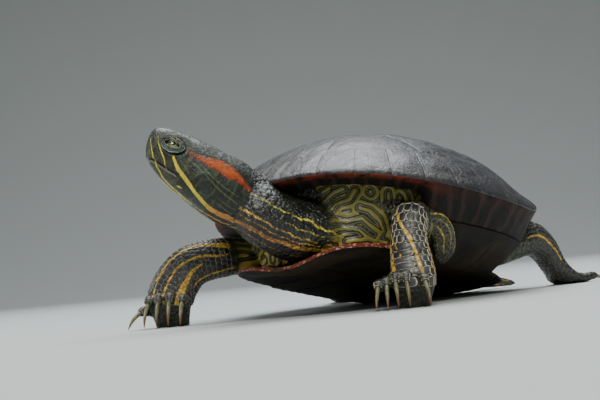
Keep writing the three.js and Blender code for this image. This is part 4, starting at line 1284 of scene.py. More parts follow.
def neck_beads(sizes, seed):
    """The beads of the neck: small domes in rings round it, uneven, and missing under the throat."""
    random = np.random.default_rng(seed)
    plan = []
    for row, length in enumerate(np.arange(47, 112, 1.55)):
        half = NECK_BODY.at(np.array([length]))[3][0]
        count = int(np.pi * (half[0] + half[1]) / mix(1.5, 2.1, smooth(length, 50, 90)))
        turns = (np.arange(count) + 0.5 * (row % 2)) * 360 / count + random.uniform(-0.9, 0.9, count)
        size = random.uniform(0.7, 1.1, count) * mix(0.5, 1.0, smooth(length, 46, 58))
        lengths = length + random.uniform(-0.3, 0.3, count)
        plan.append(np.stack([lengths, turns, 0.85 * size, size * 180 / count * 1.02], -1))
    plan = np.concatenate(plan)
    upper = np.sin(np.radians(plan[:, 1])) > -0.55
    plan = plan[upper & (plan[:, 0] > 47 + 4 * np.abs(np.cos(np.radians(plan[:, 1]))))]
    shape = plate_shape(BEAD_RINGS, 7, 0.9)
    laid = [laid_plates(NECK_BODY, plan, sizes.bead_height, shape)]
    _, _, length, turn, _ = laid[0]
    turn = np.arctan2(np.sin(turn), np.cos(turn))
    fields = dict(stripe=neck_stripes(length, turn),
                  ear=stripe_gap(NECK_BODY, length, turn, (EAR_PATCH,), True),
                  line=stripe_gap(NECK_BODY, length, turn, CHEEK_LINES, True),
                  warm=neck_warmth(length, turn))
    return plates_mesh("scales_neck", laid, fields, [plan], np.stack(shape[:2], -1), seed)


def limb_fields(body, length, turn, limb):
    """The markings of a limb, as its skin has them."""
    turn = np.arctan2(np.sin(turn), np.cos(turn))
    nothing = np.full(len(length), 9.0)
    return dict(stripe=stripe_gap(body, length, turn, LIMB_STRIPES[limb]), ear=nothing, line=nothing,
                warm=limb_warmth(turn))


# ---------- materials ----------
class Output:
    """A shader node's output that takes part in sums as a number does: each sum adds a Math node."""

    def __init__(self, nodes, socket):
        self.nodes, self.socket = nodes, socket

    def __add__(self, other):
        return self.nodes.math("ADD", self, other)

    def __sub__(self, other):
        return self.nodes.math("SUBTRACT", self, other)

    def __rsub__(self, other):
        return self.nodes.math("SUBTRACT", other, self)

    def __mul__(self, other):
        return self.nodes.math("MULTIPLY", self, other)

    def __abs__(self):
        return self.nodes.math("ABSOLUTE", self)


class Nodes:
    """Short calls that add shader nodes to a tree. Values may be numbers, colours or nodes' outputs."""

    def __init__(self, tree):
        self.tree = tree

    def add(self, kind, values, output=0, **settings):
        """Adds a node with its settings, feeds its inputs and gives one of its outputs."""
        node = self.tree.nodes.new(kind)
        for name, value in settings.items():
            setattr(node, name, value)
        for key, value in values.items():
            self.feed(node.inputs[key], value)
        return Output(self, node.outputs[output])

    def feed(self, socket, value):
        """Links an output to a socket, or sets the socket's value. A colour's alpha is 1."""
        if isinstance(value, Output):
            self.tree.links.new(value.socket, socket)
        else:
            socket.default_value = (*value, 1.0) if socket.type == "RGBA" else value

    def outputs(self, node):
        """A node's outputs by name."""
        return {socket.name: Output(self, socket) for socket in node.outputs}

    def math(self, operation, *values):
        """A sum of one to three numbers."""
        return self.add("ShaderNodeMath", dict(enumerate(values)), operation=operation)

    def field(self, name):
        """The piece's own number of this name at each point."""
        return self.add("ShaderNodeAttribute", {}, output="Fac", attribute_name=name)

    def step(self, value, low, high):
        """Runs smoothly from 0 at low to 1 at high."""
        return self.add("ShaderNodeMapRange", {"Value": value, "From Min": low, "From Max": high},
                        interpolation_type="SMOOTHSTEP")

    def blend(self, share, first, second):
        """A colour between two."""
        return self.add("ShaderNodeMix", {0: share, 6: first, 7: second}, output=2, data_type="RGBA")

    def between(self, share, first, second):
        """A number between two."""
        return self.add("ShaderNodeMix", {0: share, 2: first, 3: second})

    def place(self, scale=(1, 1, 1)):
        """Object coordinates, stretched."""
        where = self.add("ShaderNodeTexCoord", {}, output="Object")
        return self.add("ShaderNodeMapping", {"Vector": where, "Scale": scale})

    def noise(self, place, scale, detail=3.0, rough=0.55, warp=0.0):
        """Cloudy noise of about 0 to 1."""
        return self.add("ShaderNodeTexNoise", {"Vector": place, "Scale": scale, "Detail": detail,
                                               "Roughness": rough, "Distortion": warp})

    def cells(self, place, scale):
        """Distance to the edges between cells."""
        return self.add("ShaderNodeTexVoronoi", {"Vector": place, "Scale": scale}, output="Distance",
                        feature="DISTANCE_TO_EDGE")

    def domes(self, place, scale, softness):
        """Distance to the middle of the nearest cell, softened where cells meet."""
        return self.add("ShaderNodeTexVoronoi", {"Vector": place, "Scale": scale, "Smoothness": softness},
                        output="Distance", feature="SMOOTH_F1")

    def group(self, tree, **values):
        """Adds a group with its values and gives its outputs by name."""
        node = self.tree.nodes.new("ShaderNodeGroup")
        node.node_tree = tree
        for name, value in values.items():
            self.feed(node.inputs[name], value)
        return self.outputs(node)

    def grain(self, scale, rough, spread):
        """The fine grain's height and roughness."""
        found = self.group(grain_group(), Scale=scale, Roughness=rough, Spread=spread)
        return found["Height"], found["Roughness"]


def new_group(name, inputs, outputs):
    """A shader node group from (name, kind, value) rows: the group, its nodes, and its two open ends."""
    tree = bpy.data.node_groups.new(name, "ShaderNodeTree")
    for way, rows in (("INPUT", inputs), ("OUTPUT", outputs)):
        for label, kind, value in rows:
            socket = tree.interface.new_socket(label, in_out=way, socket_type="NodeSocket" + kind)
            if value is not None:
                socket.default_value = value
    nodes = Nodes(tree)
    given = nodes.outputs(tree.nodes.new("NodeGroupInput"))
    return tree, nodes, given, tree.nodes.new("NodeGroupOutput").inputs


def grain_group():
    """Fine unevenness of wet horn and skin: pores over soft waves, and the roughness they bring."""
    name = "Wet Grain"
    if name in bpy.data.node_groups:
        return bpy.data.node_groups[name]
    tree, nodes, given, made = new_group(
        name, [("Scale", "Float", 600.0), ("Roughness", "Float", 0.4), ("Spread", "Float", 0.2)],
        [("Height", "Float", None), ("Roughness", "Float", None)])
    place = nodes.place()
    fine = nodes.noise(place, given["Scale"], 4.0, 0.6)
    broad = nodes.noise(place, given["Scale"] * 0.12, 3.0, 0.5)
    nodes.feed(made["Height"], fine * 0.6 + broad * 0.4)
    nodes.feed(made["Roughness"], given["Roughness"] + (broad - 0.5) * given["Spread"])
    return tree


def markings_group(colours):
    """The slider's markings over any base: yellow to orange stripes, pale lines and the red ear patch,
    with edges broken up by the scales under them."""
    name = "Slider Markings"
    if name in bpy.data.node_groups:
        return bpy.data.node_groups[name]
    tree, nodes, given, made = new_group(name, [("Base", "Color", (0, 0, 0, 1))],
                                         [("Color", "Color", None), ("Mark", "Float", None)])
    place = nodes.place()
    ragged = (nodes.noise(place, 900.0, 2.0) - 0.5) * 1.1
    soft = nodes.noise(place, 260.0, 3.0)
    stripe = nodes.step(nodes.field("stripe") + ragged, 0.22, -0.22)
    ear = nodes.step(nodes.field("ear") + ragged * 1.5, 0.45, -0.45)
    line = nodes.step(nodes.field("line") + ragged, 0.2, -0.25)
    yellow = nodes.blend(nodes.step(soft, 0.3, 0.75), colours.yellow_dark, colours.yellow)
    orange = nodes.blend(nodes.step(soft, 0.3, 0.75), colours.orange_dark, colours.orange)
    bright = nodes.blend(nodes.field("warm"), yellow, orange)
    rim = nodes.step(nodes.field("ear"), -2.4, 0.0)
    red = nodes.blend(nodes.step(soft, 0.36, 0.6), colours.ear_dark, colours.ear)
    red = nodes.blend((1.0 - rim) * 0.75, red, colours.ear_heart)
    body = nodes.blend(line * 0.42, given["Base"], colours.pale_line)
    body = nodes.blend(stripe, body, bright)
    broken = nodes.noise(place, 420.0, 4.0, 0.65) - rim * 0.08
    body = nodes.blend(ear * nodes.step(broken, 0.26, 0.44), body, red)
    nodes.feed(made["Color"], body)
    nodes.feed(made["Mark"], nodes.math("MAXIMUM", stripe, ear))
    return tree


def new_material(name, constants):
    """A material with a Principled shader whose constants are set on its own sockets."""
    material = bpy.data.materials.new(name)
    material.use_nodes = True
    tree = material.node_tree
    principled = tree.nodes["Principled BSDF"]
    for socket, value in constants.items():
        principled.inputs[socket].default_value = value
    return material, Nodes(tree), principled.inputs


def finish(nodes, shader, base, rough, height, strength, distance):
    """Feeds colour, roughness and bump into a shader."""
    nodes.feed(shader["Base Color"], base)
    nodes.feed(shader["Roughness"], rough)
    lumps = nodes.add("ShaderNodeBump", {"Height": height, "Strength": strength, "Distance": distance})
    nodes.feed(shader["Normal"], lumps)


def row_gap(nodes, name, pitch):
    """Millimetres to the nearest whole row."""
    row = nodes.field(name)
    return abs(row - nodes.math("ROUND", row)) * pitch


def scute_gap(nodes):
    """Millimetres to the nearest seam: the least of the gaps to the ring and to the seams on its side of
    it, and inside it of the gaps to the spine's seams and to those on their side."""
    spine_gap, ring_gap = nodes.field("spine_gap"), nodes.field("ring_gap")
    inner = nodes.between(nodes.step(spine_gap, -0.01, 0.01), row_gap(nodes, "spine_row", SPINE_PITCH),
                          row_gap(nodes, "side_row", SIDE_PITCH))
    inner = nodes.math("MINIMUM", inner, abs(spine_gap))
    gap = nodes.between(nodes.step(ring_gap, -0.01, 0.01), inner, row_gap(nodes, "edge_row", EDGE_PITCH))
    return nodes.math("MINIMUM", gap, abs(ring_gap))


def scute_material(colours):
    """Horn of the carapace: near black with an olive cast, dark seams, growth lines and long wrinkles, pale
    streaks of painted highlight, painted shade in the wrinkles' valleys, and an olive floor in the furrows
    that is partly painted shade.
    """
    material, nodes, shader = new_material("scute_horn", {"Specular IOR Level": 0.62, "Coat Weight": 0.18,
                                                          "Coat Roughness": 0.3})
    place = nodes.place()
    long = nodes.place((1, 0.8, 1))
    wobble = nodes.noise(place, 90.0, 3.0)
    seam = nodes.step(scute_gap(nodes) + (wobble - 0.5) * 0.8, 0.75, 0.15)
    wrinkle = nodes.noise(long, 130.0, 6.0, 0.62, 0.6)
    streak = nodes.noise(long, 320.0, 5.0, 0.6, 0.4)
    rings = nodes.math("SINE", nodes.field("seam_gap") * 3.1 + wobble * 9.0)
    patch = nodes.noise(place, 22.0, 4.0, 0.6)
    base = nodes.blend(nodes.step(patch, 0.42, 0.7), colours.shell, colours.shell_olive)
    # Painted highlight: pale streaks that stand in for the wet horn's sheen.
    base = nodes.blend(nodes.step(streak, 0.52, 0.72), base, colours.shell_highlight)
    # Painted shade: the wrinkles' valleys are darkened.
    base = nodes.blend(nodes.step(wrinkle, 0.5, 0.3) * 0.6, base, (0.006, 0.006, 0.007))
    base = nodes.blend(seam * 0.25, base, (0.005, 0.004, 0.004))
    # An olive tint in the furrows, darkened as painted shade in them.
    base = nodes.blend(nodes.field("groove") * 0.5, base, colours.shell_groove)
    grain, rough = nodes.grain(900.0, 0.4, 0.35)
    height = wrinkle + streak * 0.35 + rings * 0.012 + grain * 0.25 - seam * 0.12
    rough = rough + nodes.field("groove") * 0.42 + nodes.step(patch, 0.5, 0.68) * 0.14
    finish(nodes, shader, base, rough, height, 0.8, 0.0015)
    return material


def rim_material(colours):
    """Dull horn under the carapace's edge: a rust band in front, then brown with paler bars, the brown
    darkened almost to black, partly as painted shade under the edge.
    """
    material, nodes, shader = new_material("rim_horn", {"Specular IOR Level": 0.14})
    place = nodes.place()
    below = nodes.field("below")
    bars = nodes.math("SINE", nodes.field("edge_row") * 12.6 + nodes.noise(place, 60.0, 3.0) * 8.0)
    # The near black brown is partly painted shade under the carapace's edge.
    base = nodes.blend(nodes.step(bars, 0.35, 1.0) * 0.55, colours.rim_brown, colours.rim_pink)
    rust = nodes.step(below, 0.62, 0.25) * nodes.step(nodes.noise(place, 150.0), 0.35, 0.55)
    rust = rust * (nodes.field("front") * 0.85 + 0.12)
    base = nodes.blend(rust, base, colours.rust)
    wrinkle = nodes.noise(nodes.place((1, 1, 0.3)), 260.0, 5.0, 0.6, 0.5)
    grain, rough = nodes.grain(900.0, 0.6, 0.3)
    height = wrinkle + grain * 0.3
    finish(nodes, shader, base, rough, height, 0.6, 0.0009)
    return material


def plastron_material(colours):
    """Horn of the plastron: dark olive brown with smoky figures on dull yellow, the whole darkened as painted
    shade on the underside, and a rosy beaded rim.
    """
    material, nodes, shader = new_material("plastron_horn", {"Specular IOR Level": 0.16})
    place = nodes.place()
    smoke = nodes.noise(place, 30.0, 5.0, 0.6, 1.2)
    # Painted shade: the plastron's yellow and its figures are darkened, as it faces the floor.
    base = nodes.blend(nodes.step(smoke, 0.44, 0.6), colours.plastron_dark, colours.plastron)
    middle = abs(nodes.field("middle_gap"))
    seam = nodes.step(nodes.math("MINIMUM", middle, row_gap(nodes, "cross_row", CROSS_PITCH)), 0.8, 0.2)
    base = nodes.blend(seam * 0.7, base, (0.012, 0.009, 0.005))
    beads = nodes.cells(place, 420.0)
    rim = nodes.step(nodes.field("rim"), 0.4, 0.7) * (1.0 - nodes.field("bridge"))
    rim = rim * nodes.step(nodes.noise(place, 75.0, 3.0), 0.3, 0.52)
    rosy = nodes.blend(nodes.step(beads, 0.1, 0.35), colours.rim_rust, colours.rim_bead)
    base = nodes.blend(rim, base, rosy)
    grain, rough = nodes.grain(700.0, 0.62, 0.3)
    height = grain * 0.4 + nodes.noise(place, 160.0, 4.0) * 0.6 - seam * 0.6
    finish(nodes, shader, base, rough, height, 0.6, 0.0007)
    return material


def firm_skin(nodes, place, colours, noises, rise):
    """Colour of head, neck and limbs: green black, mottled and pitted, with a green cheek, grey patches of
    painted sheen on the crown, an arc round the ear's drum, an olive beak, the mouth's dark line over a pale
    lip, and slate cells between a limb's plates, with painted shade darkening them near the floor."""
    mottle, blotch, scaly, fleck = noises
    head, crown, mouth = nodes.field("head"), nodes.field("crown"), nodes.field("mouth")
    skin = nodes.blend(nodes.step(mottle, 0.42, 0.72), colours.skin, colours.skin_green)
    cheek = head * nodes.step(blotch, 0.42, 0.62) * (1.0 - crown)
    skin = nodes.blend(cheek * 0.75, skin, colours.cheek)
    # Painted sheen: grey patches on the crown, where it faces the light.
    pale_sheen = head * crown * nodes.step(scaly, 0.4, 0.62)
    skin = nodes.blend(pale_sheen * 0.7, skin, colours.bead)
    pits = nodes.step(fleck, 0.47, 0.38) * head
    skin = nodes.blend(pits * 0.75, skin, (0.006, 0.007, 0.005))
    arc = nodes.step(abs(nodes.field("drum")), 0.4, 0.1) * head * nodes.step(blotch, 0.38, 0.56)
    skin = nodes.blend(arc * 0.5, skin, colours.lid_lower)
    beak = nodes.step(abs(mouth), 5.0, 2.0) * nodes.step(blotch, 0.3, 0.6)
    skin = nodes.blend(beak * 0.6, skin, colours.beak)
    streak = nodes.step(nodes.field("streak"), 0.15, 0.7) * head
    skin = nodes.blend(streak * 0.5, skin, colours.beak)
    leg = nodes.blend(nodes.step(nodes.cells(place, 520.0), 0.14, 0.05), colours.plate_dark,
                      colours.loose_middle)
    # Painted shade: near black close to the floor, under and behind the feet.
    leg = nodes.blend(nodes.step(rise, 0.014, 0.008) * 0.8, leg, (0.01, 0.01, 0.007))
    skin = nodes.blend(nodes.field("limb"), skin, leg)
    skin = nodes.blend(nodes.step(abs(mouth), 0.55, 0.25), skin, (0.004, 0.004, 0.003))
    lip = nodes.step(abs(mouth + 0.85), 0.35, 0.1)
    return nodes.blend(lip * 0.35, skin, colours.lid_pale)


def loose_skin(nodes, place, colours, blotch, rise):
    """Colour of the loose skin: yellow bands with dark lines beside them and grey green between, on a
    distance that a noise makes wind; the bands are brighter low down and dimmer higher up, as painted shade
    under the shell's edge."""
    weave = nodes.field("weave") + (nodes.noise(place, 110.0, 3.0) - 0.5) * 2.3
    phase = nodes.math("PINGPONG", weave, BAND_PITCH / 2)
    # Painted light: bands lit low down and left in painted shade under the shell's edge, mixed with blotches.
    lit = nodes.step(rise, 0.043, 0.027) + (blotch - 0.5) * 2.2
    band = nodes.blend(nodes.step(lit, 0.1, 1.0), colours.loose, colours.loose_pale)
    skin = nodes.blend(nodes.step(phase, 1.3, 1.45), colours.loose_line, colours.loose_middle)
    return nodes.blend(nodes.step(phase, 1.0, 0.78), skin, band)


def skin_material(colours):
    """Wet skin: firm on the head, the neck and the limbs and loose between them, all under the slider's
    markings, with beads on the neck, scales and pits on the head and a gloss on neck and crown."""
    material, nodes, shader = new_material("wet_skin", {"Specular IOR Level": 0.42, "Coat Roughness": 0.25})
    place = nodes.place()
    head, neck, limb, crown = (nodes.field(name) for name in ("head", "neck", "limb", "crown"))
    mottle = nodes.noise(place, 140.0, 4.0, 0.6)
    blotch = nodes.noise(place, 55.0, 3.0, 0.55)
    scaly = nodes.noise(place, 260.0, 4.0, 0.65, 0.8)
    fleck = nodes.noise(place, 480.0, 4.0, 0.65, 0.4)
    rise = nodes.add("ShaderNodeSeparateXYZ", {0: place}, output=2)
    firm = firm_skin(nodes, place, colours, (mottle, blotch, scaly, fleck), rise)
    loose = loose_skin(nodes, place, colours, blotch, rise)
    base = nodes.blend(nodes.step(head + neck + limb, 0.3, 0.75), loose, firm)
    marks = nodes.group(markings_group(colours), Base=base)
    beads = 1.0 - nodes.domes(place, 560.0, 0.6) * 1.6
    fine = 1.0 - nodes.domes(place, 1300.0, 0.5)
    coarse = nodes.math("MAXIMUM", neck, limb * 0.7)
    grain, rough = nodes.grain(1500.0, 0.36, 0.35)
    height = fine * 0.16 + beads * coarse * 1.3 + grain * 0.3 + marks["Mark"] * 0.08
    height = height + (fleck * 0.9 + scaly * 1.4) * head
    crack = nodes.step(beads, 0.45, 0.15) * (coarse * 0.6)
    tinted = nodes.blend(crack, marks["Color"], (0.006, 0.006, 0.005))
    rough = rough + nodes.step(mottle, 0.44, 0.6) * head * 0.22
    wet = nodes.math("MAXIMUM", neck, crown * head * nodes.step(mottle, 0.55, 0.4))
    nodes.feed(shader["Coat Weight"], wet * 0.28)
    finish(nodes, shader, tinted, rough, height, 0.8, 0.0006)
    return material


def plate_material(colours):
    """Horn plates of the limbs: slate grey with pale rims, partly pale outlines and partly painted highlight
    on the plates' edges, under the slider's markings.
    """
    material, nodes, shader = new_material("plate_horn", {"Specular IOR Level": 0.55, "Coat Weight": 0.1})
    place = nodes.place()
    edge, tone = nodes.field("edge"), nodes.field("tone")
    slate = nodes.blend(tone, colours.plate_dark, colours.plate)
    # The pale rims are partly painted highlight along the plates' edges.
    pale_sheen = edge + (nodes.noise(place, 700.0) - 0.5) * 0.3
    rim = nodes.step(pale_sheen, 0.85, 0.98) * nodes.step(nodes.noise(place, 160.0), 0.25, 0.5)
    base = nodes.blend(rim * nodes.field("rim"), slate, colours.plate_rim)
    marks = nodes.group(markings_group(colours), Base=base)
    grain, rough = nodes.grain(1600.0, 0.42, 0.35)
    finish(nodes, shader, marks["Color"], rough, grain, 0.5, 0.0003)
    return material


def bead_material(colours):
    """Glossy beads of the neck: black with grey crowns, their flanks darkened as painted shade, under the
    slider's markings.
    """
    material, nodes, shader = new_material("bead_horn", {"Specular IOR Level": 0.7, "Coat Weight": 0.35,
                                                         "Coat Roughness": 0.18})
    edge, tone = nodes.field("edge"), nodes.field("tone")
    base = nodes.blend(nodes.step(tone, 0.4, 1.0), colours.skin, colours.bead)
    # Painted shade on the beads' flanks, down to where they meet the skin.
    base = nodes.blend(nodes.step(edge, 0.5, 1.0) * 0.7, base, (0.008, 0.008, 0.007))
    marks = nodes.group(markings_group(colours), Base=base)
    grain, rough = nodes.grain(1900.0, 0.3, 0.3)
    finish(nodes, shader, marks["Color"], rough, grain, 0.4, 0.0002)
    return material


def claw_material(colours):
    """Horn of the claws: olive with paler long fibres, red brown to the tip."""
    material, nodes, shader = new_material("claw_horn", {"Specular IOR Level": 0.5, "Subsurface Weight": 0.12,
                                                         "Subsurface Scale": 0.002})
    place = nodes.place((1, 1, 0.25))
    fibre = nodes.noise(place, 900.0, 4.0, 0.6)
    tip = nodes.field("tip")
    base = nodes.blend(nodes.step(fibre, 0.3, 0.75), colours.claw, colours.claw_pale)
    base = nodes.blend(nodes.step(tip, 0.3, 0.95) * 0.8, base, colours.claw_tip)
    _, rough = nodes.grain(1200.0, 0.34, 0.2)
    finish(nodes, shader, base, rough, fibre, 0.35, 0.0002)
    return material


def eye_material(colours):
    """A wet eye: a round pupil crossed by a dark bar, a green and gold iris with fine rays, dark beyond."""
    material, nodes, shader = new_material("wet_eye", {"Specular IOR Level": 0.6, "Coat Weight": 0.4,
                                                       "Coat Roughness": 0.07})
    place = nodes.place()
    away, level = nodes.field("away"), abs(nodes.field("level"))
    rays = nodes.noise(place, 2600.0, 3.0, 0.6)
    iris = nodes.blend(nodes.step(rays, 0.35, 0.7), colours.iris_dark, colours.iris)
    pupil_ring = nodes.step(abs(away - 0.31), 0.06, 0.02)
    iris = nodes.blend(pupil_ring * 0.6, iris, colours.iris_gold)
    bar = nodes.step(level + rays * 0.06, 0.17, 0.1)
    iris = nodes.blend(bar * 0.9, iris, (0.006, 0.006, 0.004))
    base = nodes.blend(nodes.step(away, 0.6, 0.68), iris, colours.eye_white)
    base = nodes.blend(nodes.step(away, 0.27, 0.23), base, (0.002, 0.002, 0.002))
    rough = nodes.add("ShaderNodeMapRange", {"Value": rays, "To Min": 0.12, "To Max": 0.2})
    finish(nodes, shader, base, rough, rays, 0.05, 0.0001)
    return material


def lid_material(colours):
    """Skin of the lids: green black folds with pale crests, a light margin and a light outer edge."""
    material, nodes, shader = new_material("lid_skin", {"Specular IOR Level": 0.4, "Coat Weight": 0.12,
                                                        "Coat Roughness": 0.2})
    place = nodes.place()
    lid, upper = nodes.field("lid"), nodes.field("upper")
    mottle = nodes.noise(place, 900.0, 3.0)
    drift = nodes.noise(place, 230.0, 2.0) * 7.0
    wave = nodes.math("SINE", lid * 22.0 + drift)
    lower = nodes.blend(nodes.step(mottle, 0.4, 0.65), colours.cheek, colours.lid_lower)
    top = nodes.blend(nodes.step(mottle, 0.35, 0.7), colours.skin, colours.skin_green)
    base = nodes.blend(upper, lower, top)
    crest = nodes.step(wave + mottle, 1.15, 1.5) * 0.75 * (upper * 0.65 + 0.35)
    base = nodes.blend(crest, base, colours.lid_pale)
    margins = nodes.math("MINIMUM", abs(lid - 0.84), abs(lid - 0.05))
    rim = nodes.step(margins, 0.075, 0.03) * (1.0 - upper * 0.7)
    broken = nodes.step(nodes.noise(place, 420.0, 2.0), 0.32, 0.56)
    base = nodes.blend(rim * broken, base, colours.lid_pale)
    grain, rough = nodes.grain(2200.0, 0.3, 0.3)
    height = grain + wave * 0.3
    finish(nodes, shader, base, rough, height, 0.6, 0.0003)
    return material


# ---------- what a user can change ----------
def shade(name, description, red, green, blue):
    """A colour that a user can change."""
    return FloatVectorProperty(name=name, description=description, subtype="COLOR", size=3, min=0, max=1,
                               default=(red, green, blue))


class TurtleSizes(bpy.types.PropertyGroup):
    """Sizes of the dressing, in millimetres of the life-size animal."""

    scale_thickness: FloatProperty(name="Plate thickness", default=0.4, min=0.1, max=1.0,
                                   description="Thickness of the limbs' plates over the skin, in mm")
    scute_swell: FloatProperty(name="Scute swell", default=0.5, min=0, max=2,
                               description="How far a scute rises between its seams, in mm")
    seam_depth: FloatProperty(name="Seam depth", default=0.2, min=0, max=2,
                              description="Depth of the seams between scutes, in mm")
    skin_lattice: FloatProperty(name="Skin lattice", default=0.86, min=0.5, max=2,
                                description="Spacing of the lattice that the skin is grown on, in mm")
    bead_height: FloatProperty(name="Bead height", default=0.5, min=0.1, max=1.0,
                               description="Height of the neck's beads over the skin, in mm")
    plate_seed: IntProperty(name="Plate seed", default=7, min=0, description="Changes how uneven plates are")


class TurtleColours(bpy.types.PropertyGroup):
    """Colours of the shell, the skin and the markings."""

    shell: shade("Shell", "Main colour of the scutes", 0.015, 0.0135, 0.018)
    shell_olive: shade("Shell olive", "Olive cast on the scutes", 0.024, 0.024, 0.017)
    # The next colour is painted highlight: pale streaks in place of the wet shell's sheen.
    shell_highlight: shade("Shell highlights", "Painted highlight streaks on the scutes", 0.062, 0.057, 0.068)
    # The furrows' floor: an olive tint, darkened as painted shade.
    shell_groove: shade("Shell grooves", "Floor of the long grooves", 0.006, 0.009, 0.006)
    rust: shade("Rust", "Band under the carapace's edge", 0.15, 0.028, 0.014)
    # Dark brown, darkened further as painted shade under the edge.
    rim_brown: shade("Rim brown", "Underside of the marginal scutes", 0.009, 0.008, 0.006)
    rim_pink: shade("Rim bars", "Pale bars on the underside of the marginal scutes", 0.05, 0.024, 0.02)
    # The plastron's two colours are darkened as painted shade on the underside.
    plastron: shade("Plastron", "Dull yellow of the plastron", 0.03, 0.019, 0.009)
    plastron_dark: shade("Plastron figures", "Dark figures of the plastron", 0.01, 0.008, 0.006)
    rim_rust: shade("Plastron rim", "Rim of the plastron's lobes", 0.14, 0.028, 0.016)
    rim_bead: shade("Plastron rim beads", "Light beads on the plastron's rim", 0.5, 0.24, 0.16)
    skin: shade("Skin", "Main colour of the skin", 0.011, 0.013, 0.009)
    skin_green: shade("Skin green", "Green mottling of the skin", 0.034, 0.042, 0.022)
    cheek: shade("Cheek", "Green cast on the sides of the head", 0.02, 0.047, 0.033)
    beak: shade("Beak", "Olive horn round the mouth", 0.075, 0.075, 0.025)
    loose: shade("Loose skin", "Yellow bands of the skin between neck and legs", 0.2, 0.18, 0.04)
    # Brighter parts: painted light low down on the bands, mixed with random blotches.
    loose_pale: shade("Loose skin pale", "Brighter parts of those bands", 0.6, 0.45, 0.08)
    loose_middle: shade("Loose skin between", "Grey green between the dark lines", 0.1, 0.105, 0.05)
    loose_line: shade("Loose skin lines", "Dark lines beside the bands", 0.009, 0.008, 0.006)
    yellow: shade("Yellow", "Stripes of the head", 0.84, 0.7, 0.06)
    yellow_dark: shade("Yellow dark", "Darker patches of yellow stripes", 0.56, 0.42, 0.03)
    orange: shade("Orange", "Warm stripes", 0.7, 0.3, 0.04)
    orange_dark: shade("Orange dark", "Darker patches of warm stripes", 0.4, 0.15, 0.03)
    ear: shade("Ear patch", "The red patch behind the eye", 0.32, 0.036, 0.004)
    ear_dark: shade("Ear patch dark", "Darker spots of the red patch", 0.1, 0.015, 0.006)
    ear_heart: shade("Ear patch heart", "Middle of the red patch", 0.44, 0.088, 0.004)
    pale_line: shade("Pale line", "Thin lines of the cheek", 0.16, 0.2, 0.07)
    lid_pale: shade("Lid crests", "Light crests of the lids", 0.4, 0.42, 0.32)
    lid_lower: shade("Lower lid", "Grey green of the lower lid", 0.028, 0.04, 0.028)
    # Also the colour of the painted sheen on the head's crown.
    bead: shade("Beads", "Grey crowns of the neck's beads", 0.045, 0.048, 0.045)
    plate: shade("Plate", "Plates of the limbs", 0.05, 0.048, 0.052)
    plate_dark: shade("Plate dark", "Darker plates of the limbs", 0.014, 0.013, 0.01)
    # Pale rims: partly the plates' outlines, partly painted highlight on their edges.
    plate_rim: shade("Plate rim", "Pale rims of the plates", 0.66, 0.6, 0.46)
    claw: shade("Claw", "Horn of the claws", 0.1, 0.1, 0.045)
    claw_pale: shade("Claw pale", "Pale fibres of the claws", 0.26, 0.24, 0.12)
    claw_tip: shade("Claw tip", "Browner tips of the claws", 0.13, 0.045, 0.014)
    iris: shade("Iris", "Rays of the iris", 0.2, 0.26, 0.09)
    iris_dark: shade("Iris dark", "Ground of the iris", 0.04, 0.065, 0.03)
    iris_gold: shade("Iris gold", "Ring round the pupil", 0.5, 0.42, 0.08)
    eye_white: shade("Eye beyond the iris", "Eyeball beyond the iris", 0.012, 0.014, 0.009)
    floor: shade("Floor", "Floor and backdrop", 0.46, 0.48, 0.47)


def shared_material(name, build):
    """The material of this name, built the first time it is asked for."""
    return bpy.data.materials.get(name) or build(bpy.context.scene.turtle_colours)


# ---------- operators ----------
class TURTLE_OT_shell(bpy.types.Operator):
    """Builds the carapace and the plastron"""

    bl_idname = "turtle.shell"
    bl_label = "Shell"

    def execute(self, context):
        for name, form, material, slot in (
                ("carapace_shell", carapace_form(context.scene.turtle_sizes), scute_material, "scutes"),
                ("plastron_shell", plastron_form(), plastron_material, "plastron")):
            rings, fields = form
            points, faces = closed_tube(rings)
            mesh = mesh_of(name, points, outward(points, faces))
            ends = {key: [values[0].mean(), values[-1].mean()] for key, values in fields.items()}
            write_fields(mesh, {key: np.concatenate([values.ravel(), ends[key]])
                                for key, values in fields.items()})
            piece = add_piece(name, mesh, material(context.scene.turtle_colours), slot, name.split("_")[0])
            if "below" in fields:
                mesh.materials.append(rim_material(context.scene.turtle_colours))
                paint_faces(piece, "below", 0.03)
        return {"FINISHED"}


class TURTLE_OT_skin(bpy.types.Operator):
    """Grows the skin over the head, neck, trunk, legs and tail"""

    bl_idname = "turtle.skin"
    bl_label = "Skin"

    def execute(self, context):
        sizes = context.scene.turtle_sizes
        arms = [f"{part}_{side}" for side in ("left", "right") for part in ("upper_arm", "forearm", "hand")]
        legs = [f"{part}_{side}" for side in ("left", "right") for part in ("thigh", "shank", "foot")]
        material = shared_material("wet_skin", skin_material)
        add_piece("skin_front", skin_mesh(sizes, True), material, "skin",
                  "head", "lower_jaw", "neck", "trunk", *arms)
        add_piece("skin_rear", skin_mesh(sizes, False), material, "skin", "trunk", "tail", *legs)
        return {"FINISHED"}


class TURTLE_OT_plates(bpy.types.Operator):
    """Lays plates over the skin of the legs and the tail, and beads over the neck"""

    bl_idname = "turtle.plates"
    bl_label = "Plates"

    def execute(self, context):
        sizes = context.scene.turtle_sizes
        material = shared_material("plate_horn", plate_material)
        for index, limb in enumerate(PLATES):
            add_piece("scales_" + limb, limb_plates(limb, sizes, sizes.plate_seed + index), material, "skin")
        beads = neck_beads(sizes, sizes.plate_seed + 20)
        add_piece("scales_neck", beads, shared_material("bead_horn", bead_material), "skin")
        return {"FINISHED"}


